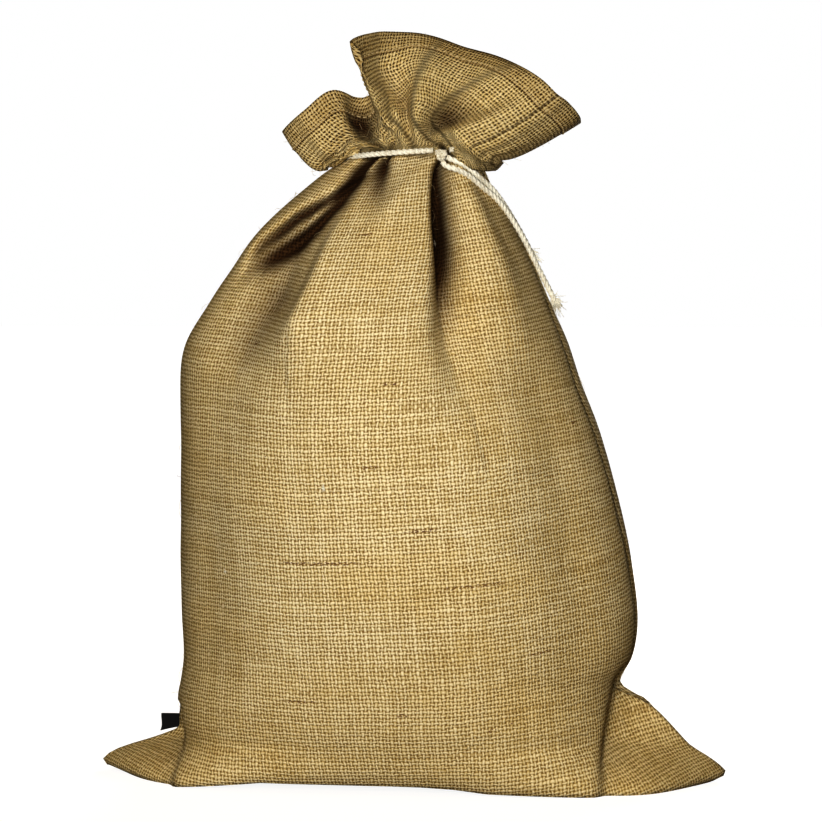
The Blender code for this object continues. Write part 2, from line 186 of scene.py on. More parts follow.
class Wire:
    # a value in a material; sums and products of wires are new math nodes
    def __init__(self, shader, socket):
        self.shader = shader
        self.socket = socket

    def __add__(self, other):
        return self.shader.math("ADD", self, other)

    def __sub__(self, other):
        return self.shader.math("SUBTRACT", self, other)

    def __rsub__(self, other):
        return self.shader.math("SUBTRACT", other, self)

    def __mul__(self, other):
        return self.shader.math("MULTIPLY", self, other)

    def __truediv__(self, other):
        return self.shader.math("DIVIDE", self, other)

    def __abs__(self):
        return self.shader.math("ABSOLUTE", self)

    def timesPlus(self, factor, more):
        return self.shader.math("MULTIPLY_ADD", self, factor, more)

    def clamped(self):
        self.socket.node.use_clamp = True
        return self

    def remap(self, low, high, toLow=0.0, toHigh=1.0, smooth=True):
        values = {"Value": self, "From Min": low, "From Max": high, "To Min": toLow, "To Max": toHigh}
        kind = "SMOOTHSTEP" if smooth else "LINEAR"
        return self.shader.make("MapRange", "Result", values, interpolation_type=kind)


class Shader:
    # a material and the nodes put into it
    def __init__(self, name):
        self.material = bpy.data.materials.new(name)
        self.material.use_nodes = True
        self.tree = self.material.node_tree
        self.surface = self.tree.nodes["Principled BSDF"].inputs

    def feed(self, socket, value):
        if isinstance(value, Wire):
            self.tree.links.new(value.socket, socket)
        else:
            socket.default_value = value

    def make(self, kind, output, values, **settings):
        # a new node with its inputs fed and its settings made, and the wire out of it
        made = self.tree.nodes.new("ShaderNode" + kind)
        for key, value in settings.items():
            setattr(made, key, value)
        for key, value in values.items():
            self.feed(made.inputs[key], value)
        return Wire(self, made.outputs[output])

    def math(self, operation, *parts):
        return self.make("Math", 0, dict(enumerate(parts)), operation=operation)

    def vector(self, parts):
        if isinstance(parts, Wire):
            return parts
        return self.make("CombineXYZ", 0, dict(enumerate(parts)))

    def noise(self, place, scale=1.0, detail=2.0, roughness=0.5):
        values = {"Vector": self.vector(place), "Scale": scale, "Detail": detail, "Roughness": roughness}
        return self.make("TexNoise", "Fac", values)

    def white(self, place):
        return self.make("TexWhiteNoise", "Value", {"Vector": self.vector(place)}, noise_dimensions="2D")

    def mix(self, factor, a, b, blend="MIX"):
        a, b = (value if isinstance(value, Wire) else (*value, 1.0) for value in (a, b))
        return self.make("Mix", 2, {"Factor": factor, 6: a, 7: b}, data_type="RGBA", blend_type=blend)

    def tint(self, factor, colour, shade):
        return self.mix(factor, colour, self.mix(1.0, colour, shade, "MULTIPLY"))

    def map(self, name):
        # both coordinates of one of the cloth's maps
        split = self.make("SeparateXYZ", 0, {0: self.make("UVMap", 0, {}, uv_map=name)}).socket.node
        return Wire(self, split.outputs[0]), Wire(self, split.outputs[1])

    def place(self):
        return self.make("TexCoord", "Object", {})

    def paint(self, colour, roughness):
        self.feed(self.surface["Base Color"], colour)
        self.surface["Roughness"].default_value = roughness

    def bump(self, height, distance):
        values = {"Strength": 1.0, "Distance": distance, "Height": height}
        self.feed(self.surface["Normal"], self.make("Bump", 0, values))


cordWork = {
    "thick": 0.0035,
    "pitch": 0.0108,
    "neckHeight": 0.404,
    "knotTurn": 0.176,
    "knotShare": 0.021,
    "gap": 0.0003,
    "tilt": 0.05,
    "around": 24,
    "step": 0.0005,
    "knotPlace": (0.0222, -0.0292, 0.4022),
    "knotSize": 0.00100,
    "knotThick": 0.0029,
    "fray": 0.0075,
    "frayFrom": 0.00036,
    "frayTo": 0.00012,
}

# the points each free end passes through, from the knot down
shortEnd = thousandths((
    (25.8, -30, 400.5), (30, -28.8, 398.7), (34.5, -27.8, 396.9), (39.8, -24.3, 393.5),
    (46, -20.8, 388.1), (53.4, -15.1, 381.3), (59.2, -7.9, 373.6), (64.5, -2.2, 365),
    (69.8, 1.2, 355.7), (75.5, 2.5, 345), (78, 2.7, 340),
))
longEnd = thousandths((
    (23, -30.8, 397.6), (26.2, -31.6, 394.7), (31.2, -31.6, 393), (36.2, -29.1, 390.9),
    (41, -26.1, 387.9), (47.8, -22.4, 382), (56.6, -15.7, 374.5), (62.7, -9.5, 366.7),
    (68.8, -5, 357.1), (74.5, -2.8, 346.9), (80, -0.6, 335.5), (86.6, 1, 322.5), (93.2, 1.5, 309.5),
))

cottonShades = {
    "light": (0.92, 0.89, 0.77),
    "deep": (0.52, 0.45, 0.31),
    "fibre": 900.0,
    "stain": 55.0,
    "relief": 0.00012,
}


def cottonMaterial(values):
    s = Shader("cottonCord")
    fluff = s.noise(s.place(), values["fibre"], 3.0, 0.6)
    blend = fluff.timesPlus(0.7, s.noise(s.place(), values["stain"]) * 0.5)
    s.paint(s.mix(blend.remap(0.35, 0.70), values["deep"], values["light"]), 0.8)
    s.surface["Sheen Weight"].default_value = 0.3
    s.bump(fluff, values["relief"])
    return s.material


cotton = cottonMaterial(cottonShades)


def twistedCord(name, path, thick, node):
    bm = bmesh.new()
    layTube(bm, path, thick / 2.0, cordWork["around"], 3, cordWork["pitch"])
    return finishPiece(name, bm, cotton, node)


def frayedTip(name, path, spread, count, seed):
    # loose cotton fibres that fan out of a cut end
    rand = np.random.default_rng(seed)
    bm = bmesh.new()
    end = path[-1]
    ahead = unit(end - path[-4])
    along = np.linspace(0.0, 1.0, 9)[:, None]
    for _ in range(count):
        start = end - ahead * rand.uniform(0.0015, 0.004) + rand.normal(0.0, 0.0004, 3)
        lean = unit(ahead + rand.normal(0.0, spread, 3) * (1.0, 0.45, 1.0))
        bend = rand.normal(0.0, 0.38, 3) * (1.0, 0.4, 1.0)
        reach = cordWork["fray"] * rand.uniform(0.45, 1.0)
        line = start + reach * (lean * along + bend * along**2 + (0.0, 0.0, -0.25) * along**2)
        line[:, 1] = np.minimum(line[:, 1], start[1] + 0.0012)
        layTube(bm, line, np.linspace(cordWork["frayFrom"], cordWork["frayTo"], 9), 5)
    return finishPiece(name, bm, cotton)


def addFreeEnd(name, points, node, spread, count, seed):
    points = points + stand
    path = evenPath(points, int(float(distancesOf(points)[-1]) / cordWork["step"]))
    cord = twistedCord(name, path, cordWork["thick"], node)
    tuft = frayedTip(name + "Fray", path, spread, count, seed)


addFreeEnd("tieEndShort", shortEnd, "tie_end_short", 0.30, 130, 3)
addFreeEnd("tieEndLong", longEnd, "tie_end_long", 0.32, 140, 8)


def addKnot(values):
    # an overhand knot drawn tight
    t = np.linspace(0.0, 2.0 * math.pi, 161)
    loop = (np.sin(t) + 2.0 * np.sin(2.0 * t), -1.3 * np.sin(3.0 * t), np.cos(t) - 2.0 * np.cos(2.0 * t))
    path = np.array(values["knotPlace"]) + stand + values["knotSize"] * np.column_stack(loop)
    twistedCord("tieKnot", path, values["knotThick"], "tie_knot")


addKnot(cordWork)
print("knot made")

# the filled sack's level sections: height, how far it reaches left, right, front and back, how
# far each ear sticks out, how square it is, how fast the ears taper
bodySections = thousandths((
    (0, 139, 134, 70.5, 69, 54, 62.5, 4.6, 1.15), (5, 141, 136, 73.5, 72, 64, 69, 4, 1.45),
    (12.5, 143, 137, 77, 75.5, 55.2, 61.8, 3.3, 2.1), (23.5, 146, 138, 80, 80, 21.5, 45, 2.8, 3.4),
    (28.5, 150, 138, 81.5, 81.5, 6, 40.5, 2.45, 4.4),
    (38, 153.5, 138, 84.5, 84.5, 1, 32, 2.35, 5.2), (51, 153.5, 137, 87.5, 87.5, 0, 19, 2.25, 6.5),
    (63.5, 151.5, 137, 89.5, 89, 0, 0, 2.2, 8), (80, 150, 144.5, 91.5, 90.5, 0, 0, 2.1, 8),
    (105, 151, 147.5, 94, 92.5, 0, 0, 2.05, 8), (140, 152.5, 144.5, 95.5, 94, 0, 0, 2, 8),
    (180, 153, 136.8, 96, 94.5, 0, 0, 2, 8), (220, 152, 124.8, 94.5, 93, 0, 0, 2, 8),
    (256, 152.5, 112, 91, 89, 0, 0, 1.95, 8), (282, 149, 103.4, 86.5, 84, 0, 0, 1.9, 8),
    (308, 134.5, 91.8, 79, 77, 0, 0, 1.85, 8), (330, 119.5, 82.3, 69.5, 68, 0, 0, 1.85, 8),
    (350, 105.2, 72.1, 60, 58, 0, 0, 1.85, 8), (367, 88.8, 62.4, 51, 49, 0, 0, 1.9, 8),
    (382, 71.5, 53.8, 43, 41, 0, 0, 1.95, 8), (393, 57, 49, 36.5, 35, 0, 0, 2.05, 8),
    (404, 38.5, 47, 31, 30, 0, 0, 2.2, 8),
), plain=(7, 8))

# each fold down its length: turn, height, deep (a ridge is less than nothing), width toward the
# right, width toward the left
neckFolds = {
    "crevice": (
        (168, 404, 14, 7, 3), (170, 394, 22, 9, 3), (167, 372, 27, 11.5, 3.4),
        (168, 345, 27, 15, 3.8), (170, 318, 18, 20, 5), (168, 280, 9, 25, 8), (160, 252, 5, 32, 15),
        (150, 222, 0, 36, 28),
    ),
    "cleft": (
        (170, 404, 8, 4, 1.8), (172, 394, 14, 5, 2), (169, 372, 20, 7, 2.2), (170, 350, 20, 9, 2.5),
        (172, 325, 12, 10, 3), (170, 300, 5, 11, 4), (168, 275, 2, 12, 6), (165, 258, 0, 12, 8),
    ),
    "slit": (
        (320, 404, 10, 4, 3), (312, 397, 15, 4, 3), (291, 391, 14, 6, 6), (272, 379, 10, 10, 12),
        (267, 368, 6, 14, 18), (262, 350, 0, 18, 20),
    ),
    "slitRidge": (
        (205, 400, -2, 6, 5), (222, 384, -5, 9, 6), (243, 368, -5, 12, 7), (262, 350, 0, 12, 10),
    ),
    "underTie": (
        (372, 404, 12, 7, 4.5), (366, 394, 18, 8, 4.5), (349, 386, 14, 7, 4.5),
        (338, 376, 0, 6, 4.5),
    ),
    "betweenRolls": (
        (344, 388, 10, 4, 4), (350, 376, 14, 4.5, 4.5), (371, 370, 16, 5, 5),
        (401, 363, 16, 5.5, 5.5), (419, 353, 14, 6, 6), (438, 345, 10, 7, 7), (456, 336, 0, 8, 8),
    ),
    "underRoll": (
        (324, 388, 8, 5, 5), (328, 371, 18, 5, 6), (348, 356, 21, 5.5, 7), (370, 347, 20, 6, 8),
        (406, 336, 14, 7, 9), (430, 332, 7, 8, 10), (455, 330, 0, 10, 10),
    ),
    "shoulderHollow": (
        (362, 358, 0, 18, 24), (370, 338, 14, 22, 28), (374, 310, 21, 26, 33),
        (384, 284, 17, 32, 36), (396, 258, 9, 38, 38), (408, 226, 0, 40, 40),
    ),
    "shoulderRidge": (
        (300, 376, 0, 10, 6), (307, 352, -7, 14, 6), (312, 322, -10, 20, 7), (320, 296, -9, 24, 10),
        (336, 268, 0, 24, 18),
    ),
    "rightFlank": (
        (75, 300, 0, 26, 26), (85, 240, 6, 30, 30), (90, 160, 7, 32, 32), (92, 90, 4, 30, 30),
        (92, 40, 0, 26, 26),
    ),
    "leftFlank": (
        (415, 230, 3, 32, 32), (418, 150, 6, 34, 34), (420, 80, 3, 30, 30), (420, 40, 0, 26, 26),
    ),
    "rightCrest": (
        (100, 400, -3, 14, 10), (88, 370, -8, 16, 15), (84, 335, -8, 22, 20), (90, 300, -4, 26, 22),
        (100, 270, 0, 28, 22),
    ),
    "rightSoft": (
        (82, 404, 3, 6, 6), (70, 370, 4, 10, 10), (62, 325, 3, 14, 14), (62, 280, 0, 16, 16),
    ),
    "leftBack": (
        (560, 404, 7, 8, 6), (556, 370, 10, 14, 10), (550, 325, 6, 20, 16), (545, 280, 0, 22, 18),
    ),
    "backOne": (
        (628, 404, 6, 6, 6), (622, 380, 9, 11, 8), (617, 350, 5, 16, 14), (612, 318, 0, 18, 16),
    ),
    "backMiddle": (
        (700, 404, 10, 8, 7), (696, 372, 17, 16, 10), (692, 330, 13, 26, 18), (690, 285, 6, 32, 28),
        (690, 240, 0, 34, 32),
    ),
    "backThree": (
        (775, 404, 6, 6, 7), (777, 378, 9, 9, 11), (782, 345, 5, 14, 16), (786, 312, 0, 16, 18),
    ),
    "backFour": (
        (846, 404, 8, 7, 8), (852, 372, 14, 10, 16), (858, 330, 10, 16, 26), (864, 285, 4, 24, 30),
        (868, 250, 0, 26, 32),
    ),
    "rightBack": (
        (925, 404, 6, 6, 6), (932, 372, 8, 10, 12), (938, 335, 5, 14, 16), (942, 305, 0, 16, 18),
    ),
}
neckFolds = {name: thousandths(stations) for name, stations in neckFolds.items()}

# how much painted shade each narrow fold gets for its depth; the others get a little
foldShadeWeights = {
    "crevice": 0.70, "cleft": 1.50, "slit": 2.0, "underTie": 2.6, "betweenRolls": 1.6, "underRoll": 1.5,
    "shoulderHollow": 0.95,
}
shadeWeightLeast = 0.35
# these are pressed straight back instead of square to the cloth
pushWay = np.array((-0.13, 0.99, 0.0))
pushedBack = ("crevice", "cleft", "betweenRolls", "underRoll")

# how far the sharp left edge of the crevice hangs over it
overhang = {"turn": 0.172, "reach": 0.0050, "crest": 0.0084, "low": 0.285, "full": 0.345}

# the grooves where the ears leave the body: side, across at the floor, across at the top, top,
# deep, wide inward, wide outward
earGrooves = thousandths((
    (-1, 153.5, 153.5, 50, 10, 5, 16), (1, 131, 144, 78, 12, 6.5, 18),
), plain=(0,))

earShape = {
    "begin": 0.12,
    "round": 0.7,
    "plain": 0.004,
    "most": 0.6,
}

# how far the front bottom edge stands clear of the floor between its corners
bottomRise = {
    "across": (-0.147, -0.136, -0.119, -0.088, -0.069, -0.007, 0.014, 0.034, 0.055, 0.093, 0.137),
    "up": (0.0, 0.0012, 0.0030, 0.0062, 0.0060, 0.0058, 0.0055, 0.0045, 0.0020, 0.0010, 0.0),
    "fades": 0.045,
    "depth": 0.05,
}

# the rim of the mouth seen from the neck's middle, and how the cloth gets there: turn, right,
# back, up, lift and out on the way, rise and flare as it leaves the tie
mouthRim = thousandths((
    (0, 104, 10, 20.5, -18, 0.11, -6, 12), (30, 105, -6, 22, -18, 0.11, -7, 13),
    (90, 99, -20, 30, -15, 0.22, -8, 16), (150, 90.5, -28, 36.5, 0, 0.35, -1, 12),
    (180, 81, -26, 45.5, 20, 0.25, 10, 2), (205, 68, -17, 54, 36, 0.02, 12, 0),
    (225, 52, -6, 62, 44, -0.1, 12, 0), (245, 33, 2, 69, 48, -0.1, 12, 0),
    (265, 12, 4, 76, 50, -0.05, 12, 0), (285, -6, 0, 78.5, 48, 0.05, 12, 0),
    (302, -21, -14, 78, 44, 0.25, 12, 0), (320, -36, -44, 68, 36, 0.55, 12, 0),
    (342, -34, -26, 54, 30, 0.45, 12, 0), (365, -28, -6, 42, 26, 0.05, 11, 0),
    (388, -38, -14, 37.5, 18, 0.2, 7, 4), (410, -51, -24, 40, 6, 0.3, 3, 10),
    (445, -71, -28, 26.2, -22, 0.35, 0, 13), (475, -86, -14, 14.5, -40, 0.35, 0, 13),
    (520, -83, 12, 14, -20, 0.35, 1, 12), (570, -61, 36, 28, 14, 0.25, 8, 4),
    (620, -36, 46, 36, 26, 0.15, 12, 0), (665, -19, 28, 36, 30, -0.1, 12, 0),
    (710, 2, 44, 50, 36, 0.1, 12, 0), (770, 28, 60, 60, 34, 0.2, 12, 0),
    (825, 52, 50, 54, 32, 0.1, 12, 0), (865, 64, 32, 43, 28, -0.05, 12, 0),
    (910, 82, 38, 35, 14, 0.25, 8, 3), (960, 98, 24, 24, -10, 0.25, 3, 9),
), plain=(5,))

# folds of the ruffle: turn at the neck, half way and at the rim, deep, wide at the neck, wide
# at the rim, how far up it is deepest, how far up it ends
ruffleFolds = thousandths((
    (379, 389, 384, 20, 4, 8, 0.76, 1.06), (360, 368, 372, 5, 3, 5, 0.25, 0.7),
    (336, 340, 345, 6, 3, 5, 0.2, 0.6), (316, 322, 330, 6, 3, 5, 0.18, 0.5),
    (292, 306, 320, 7.5, 2.8, 4.5, 0.15, 0.5), (268, 304, 336, -5, 4, 8, 0.4, 1.04),
    (250, 288, 318, 13, 4, 10, 0.45, 1.1), (236, 250, 285, -3, 5, 12, 0.35, 0.9),
    (232, 200, 250, 11, 4, 11, 0.5, 1.08), (214, 186, 182, 11, 3.5, 8, 0.45, 1),
    (205, 173, 162, -9, 3.5, 7.5, 0.5, 1.05), (180, 155, 150, 5, 3.5, 7, 0.25, 0.85),
    (105, 102, 100, 4, 5, 12, 0.3, 0.9), (60, 55, 50, 3.5, 5, 12, 0.3, 0.9),
    (425, 420, 415, 6, 4.5, 10, 0.4, 0.95), (465, 460, 455, 5, 4.5, 10, 0.4, 0.95),
    (560, 557, 555, 6, 6, 12, 0.35, 1), (628, 634, 640, 7, 6, 12, 0.35, 1),
    (700, 695, 690, 8, 6, 14, 0.35, 1), (775, 783, 790, 7, 6, 12, 0.35, 1),
    (846, 848, 850, 7, 6, 12, 0.35, 1), (925, 927, 930, 6, 6, 12, 0.35, 1),
), plain=(6, 7))

# where the side seams run: height, right seam's turn, left seam's turn
seamTurns = thousandths((
    (0, 0, 500), (44, 0, 500), (56, 6, 500), (70, 12, 500), (92, 13, 502), (184, 20, 508),
    (284, 22, 516), (330, 10, 520), (380, 12, 526), (404, 55, 530),
))

# fine gathers under and over the tie: how many round the neck, deep, where they begin
gathers = ((29, 0.0006, 0.3), (43, 0.0003, 1.9))

sackForm = {
    "neckHeight": 0.404,
    "neckRight": 0.0045,
    "lowTall": 0.07,
    "bodyTall": 0.28,
    "earRound": 1.3,
    "foldReach": (0.06, 0.04),
    "foldRound": 1.7,
    "foldMost": 0.72,
    "foldLeast": 0.004,
    "pushMost": 0.78,
    "pleatRound": 1.6,
    "pleatStart": 0.22,
    "pleatFade": 0.06,
    "calmTall": 0.02,
    "gatherTall": 0.024,
    "gatherReach": 0.07,
    "rimWeight": 0.40,
    "packed": 0.16,
    "packedAt": 0.118,
    "packedWide": 0.028,
    "neckBand": 0.006,
    "columns": 300,
    "underRows": 5,
    "lowRows": 22,
    "bodyRows": 50,
    "ruffleRows": 36,
    "steadyRows": 10,
    "wall": 0.0012,
    "hemWall": 0.0022,
    "hemDeep": 0.0140,
    "hemStep": 0.0006,
    "hemSoft": 0.0012,
    "lumps": 0.0016,
    "lumpFine": (14.0, 33.0),
    "seamDeep": 0.0016,
    "seamWide": 0.0024,
    "seamSwing": 0.090,
    "swingFrom": 0.04,
    "swingTo": 0.40,
    "neckDrawn": 0.0008,
    "calmShare": 0.14,
}

# where the ruffle laps down over the tie: from turn, to turn, out, down
tieLaps = ((-0.035, 0.158, 0.0080, 0.0118), (0.415, 0.620, 0.0100, 0.0090))
lapShape = {
    "fade": 0.050,
    "upward": (0.0, 0.04, 0.10, 0.22, 0.36, 0.48, 1.0),
    "out": (0.0, 0.50, 0.62, 0.95, 0.40, 0.0, 0.0),
    "down": (0.0, 0.15, 1.00, 0.42, 0.10, 0.0, 0.0),
}


def lapNear(turns, first, last):
    # how much of the lap each turn gets
    away = (turns - first + 0.25) % 1.0 - 0.25
    fade = lapShape["fade"]
    return smoothAt((0.0, fade, last - first - fade, last - first), (0.0, 1.0, 1.0, 0.0), away)


def sectionRing(height, turns, grow=0.0):
    _, left, right, front, back, leftEar, rightEar, square, taper = columnsAt(bodySections, height)
    power = 2.0 / square
    middle, half = 0.5 * (right - left), 0.5 * (right + left) + grow
    turns = np.asarray(turns, float) % 1.0
    ring = np.zeros((len(turns), 3))
    for side, reach in ((0, -front - grow), (1, back + grow)):
        angle = np.linspace(side * math.pi, (side + 1) * math.pi, 1441)
        outwards = np.abs(np.sin(angle)) ** power
        ear = np.where(np.cos(angle) > 0, rightEar, leftEar)
        ear = ear * np.exp(-((outwards * taper) ** sackForm["earRound"]))
        x = middle + np.sign(np.cos(angle)) * (half * np.abs(np.cos(angle)) ** power + ear)
        y = reach * outwards
        share = distancesOf(np.column_stack((x, y)))
        share = share / share[-1]
        mine = (turns >= 0.5 * side) & (turns < 0.5 * (side + 1))
        where = 2.0 * turns[mine] - side
        ring[mine, 0] = np.interp(where, share, x)
        ring[mine, 1] = np.interp(where, share, y)
    ring[:, 2] = height
    return ring


def frameOf(ring):
    # level directions out of the ring and along it
    along = np.roll(ring, -2, axis=0) - np.roll(ring, 2, axis=0)
    along[:2], along[-2:] = ring[2] - ring[-3], ring[2] - ring[-3]
    along[:, 2] = 0.0
    along = unit(along)
    out = np.column_stack((-along[:, 1], along[:, 0], np.zeros(len(ring))))
    if np.sum(out[:, :2] * (ring[:, :2] - ring[:, :2].mean(axis=0))) < 0:
        out = -out
    return out, along


def creaseDepth(stations, turns, height, length):
    # nearest place on the fold's line for every point of a ring, and how deep it is there
    deepest = np.zeros(len(turns))
    for first, last in zip(stations[:-1], stations[1:]):
        run = np.array(((last[0] - first[0]) * length, last[1] - first[1]))
        level = ((turns - first[0] + 0.5) % 1.0 - 0.5) * length
        share = np.clip((level * run[0] + (height - first[1]) * run[1]) / np.sum(run**2), 0.0, 1.0)
        apart = np.hypot(level - share * run[0], height - first[1] - share * run[1])
        deep, right, left = ((1.0 - share) * first[i] + share * last[i] for i in (2, 3, 4))
        width = np.where(level - share * run[0] > 0.0, left, right)
        here = deep * np.exp(-((apart / width) ** sackForm["foldRound"]))
        deepest = np.where(np.abs(here) > np.abs(deepest), here, deepest)
    return deepest


def foldShift(turns, height, ring):
    # how far the folds draw the cloth in, how far the crevice draws it straight back, how far
    # the overhang leans it along the ring, and how much painted shade the folds get
    length = distancesOf(ring)[-1]
    below, above = sackForm["foldReach"]
    depth, back, kept = np.zeros((3, len(turns)))
    for name, stations in neckFolds.items():
        if stations[-1, 1] - below < height < stations[0, 1] + above:
            deep = creaseDepth(stations, turns, height, length)
            into = back if name in pushedBack else depth
            into += deep
            kept += foldShadeWeights.get(name, shadeWeightLeast) * deep
    depth = np.minimum(depth, sackForm["foldMost"] * np.abs(ring[:, 1]) + sackForm["foldLeast"])
    back = np.minimum(back, sackForm["pushMost"] * np.abs(ring[:, 1]))
    full = min(max((height - overhang["low"]) / (overhang["full"] - overhang["low"]), 0.0), 1.0)
    away = (turns - overhang["turn"]) * length
    crest = overhang["crest"]
    lean = -overhang["reach"] * full * np.exp(-(((away - crest) / crest) ** 2)) * (away > 0.0)
    return depth, back, lean, kept


def earDepth(height, ring):
    depth = np.zeros(len(ring))
    for side, low, high, top, deep, inward, outward in earGrooves:
        if height < top:
            share = height / top
            climbed = earShape["begin"] + (1.0 - earShape["begin"]) * share
            drawn = deep * math.sin(math.pi * climbed) ** earShape["round"]
            away = side * ring[:, 0] - (low + (high - low) * share)
            width = np.where(away < 0.0, inward, outward)
            mine = (ring[:, 0] * side > 0.0) & (np.abs(ring[:, 1]) > earShape["plain"])
            depth += np.where(mine, drawn * np.exp(-((away / width) ** 2)), 0.0)
    return np.minimum(depth, earShape["most"] * np.abs(ring[:, 1]))


def lumpsOf(ring):
    # slow unevenness of the filling, inward only
    coarse, fine = sackForm["lumpFine"]
    spots = [Vector(point) for point in ring]
    values = [noise.noise(spot * coarse) + 0.5 * noise.noise(spot * fine) for spot in spots]
    return sackForm["lumps"] * np.clip(0.5 + 0.6 * np.array(values), 0.0, 1.0)


def seamGroove(ring):
    # both side seams lie a little in, at the first and the middle column
    walked = distancesOf(ring)
    middle = walked[len(ring) // 2]
    away = np.minimum(np.minimum(walked, walked[-1] - walked), np.abs(walked - middle))
    return sackForm["seamDeep"] * np.exp(-((away / sackForm["seamWide"]) ** 2))


def gatherDepth(turns, away):
    # the neck's fine gathers, dying away above and below the tie
    fade = max(0.0, 1.0 - away / sackForm["gatherTall"]) ** 1.5
    waves = 0.0
    for count, deep, begin in gathers:
        sway = 2.0 * np.sin(2.0 * math.pi * 3.0 * turns + begin)
        waves = waves + deep * np.sin(2.0 * math.pi * count * turns + begin + sway)
    return fade * (waves + sum(deep for _, deep, _ in gathers))


def bodyRing(height, turns):
    ring = sectionRing(height, turns)
    out, along = frameOf(ring)
    depth, back, lean, _ = foldShift(turns, height, ring)
    calm = min(1.0, height / sackForm["calmTall"])
    depth = depth + earDepth(height, ring) + calm * (lumpsOf(ring) + seamGroove(ring))
    depth = depth + gatherDepth(turns, sackForm["neckHeight"] - height)
    return ring - out * depth[:, None] + along * lean[:, None] + back[:, None] * pushWay


def rimValues(turns):
    rows = np.vstack((mouthRim[-2:], mouthRim, mouthRim[:2]))
    rows[:2, 0] -= 1.0
    rows[-2:, 0] += 1.0
    return columnsAt(rows, turns)


def ruffleRing(neck, turns, share):
    _, right, back, up, lift, out, rise, flare = rimValues(turns)
    end = np.column_stack((sackForm["neckRight"] + right, back, sackForm["neckHeight"] + up))
    outward, _ = frameOf(neck)
    start = neck + outward * flare[:, None]
    start[:, 2] += rise
    bend = neck + out[:, None] * (end - neck)
    bend[:, 2] = neck[:, 2] + lift
    left = 1.0 - share
    ring = left**3 * neck + 3 * left**2 * share * start + 3 * left * share**2 * bend + share**3 * end
    out, down = (float(smoothAt(lapShape["upward"], lapShape[name], share)) for name in ("out", "down"))
    for first, last, lapOut, lapDown in tieLaps:
        near = lapNear(turns, first, last)
        ring = ring + outward * (near * out * lapOut)[:, None]
        ring[:, 2] -= near * down * lapDown
    return ring


def ruffleDepth(turns, share, length):
    # gathers and folds of one ring of the ruffle
    start, fade = sackForm["pleatStart"], sackForm["pleatFade"]
    depth = gatherDepth(turns, share * sackForm["gatherReach"])
    for first, last, _, _ in tieLaps:
        depth = depth * (1.0 - lapNear(turns, first, last))
    for neckTurn, halfTurn, rimTurn, deep, neckWide, rimWide, most, end in ruffleFolds:
        if share < end:
            rise = min(share / most, 1.0)
            fall = min(max((end - share) / (end - most), 0.0), 1.0)
            strength = deep * (start + (1.0 - start) * rise) * fall * min(1.0, share / fade)
            place = neckTurn + (rimTurn - neckTurn) * share
            place += 4.0 * share * (1.0 - share) * (halfTurn - 0.5 * (neckTurn + rimTurn))
            wide = neckWide + (rimWide - neckWide) * share
            away = ((turns - place + 0.5) % 1.0 - 0.5) * length
            depth = depth + strength * np.exp(-(np.abs(away / wide) ** sackForm["pleatRound"]))
    return depth


def foldRuffle(ruffle, where):
    # press the pleats into the finished ruffle, square to its cloth
    count = len(ruffle) - 1
    upward, along = np.gradient(ruffle, axis=0), np.gradient(ruffle, axis=1)
    along[:, 0] = along[:, -1] = ruffle[:, 1] - ruffle[:, -2]
    middle = ruffle.shape[1] // 2
    along[:, middle - 1] = along[:, middle] = ruffle[:, middle + 1] - ruffle[:, middle - 2]
    inward = np.cross(along, upward)
    inward[:sackForm["steadyRows"]] = inward[sackForm["steadyRows"]]
    inward = unit(inward)
    folded, sunk = ruffle.copy(), np.zeros(ruffle.shape[:2])
    walked = distancesOf(ruffle)
    for row in range(1, count + 1):
        sunk[row] = ruffleDepth(where[row], row / count, distancesOf(ruffle[row])[-1])
        inside = sackForm["hemDeep"] - walked[-1] + walked[row]
        hem = np.clip(inside / sackForm["hemSoft"] + 0.5, 0.0, 1.0)
        folded[row] = ruffle[row] + inward[row] * (sunk[row] - sackForm["hemStep"] * hem)[:, None]
    return folded, sunk


def sackShares():
    # mesh columns as shares of the way round from the right seam, closer together where the
    # rim is long, with the column on the left seam laid twice
    half = np.linspace(0.0, 0.5, 401)
    weights = []
    for at in (half, 1.0 - half):
        walked = distancesOf(np.column_stack(rimValues(at)[1:4]))
        weights.append(walked / walked[-1])
    mix = sackForm["rimWeight"]
    weight = mix * 0.5 * (weights[0] + weights[1]) + (1.0 - mix) * half / 0.5
    packed = 0.5 + 0.5 * np.tanh((half - sackForm["packedAt"]) / sackForm["packedWide"])
    weight = (weight + sackForm["packed"] * packed) / (weight[-1] + sackForm["packed"] * packed[-1])
    weight = (weight - weight[0]) / (weight[-1] - weight[0])
    front = np.interp(np.linspace(0.0, 1.0, sackForm["columns"] // 2 + 1), weight, half)
    return np.concatenate((front, 1.0 - front[::-1]))


def turnsAt(shares, right, left):
    return np.interp(shares, (0.0, 0.5, 1.0), (right, left, 1.0 + right))


def bodyTurns(shares, height):
    return turnsAt(shares, *columnsAt(seamTurns, height)[1:])


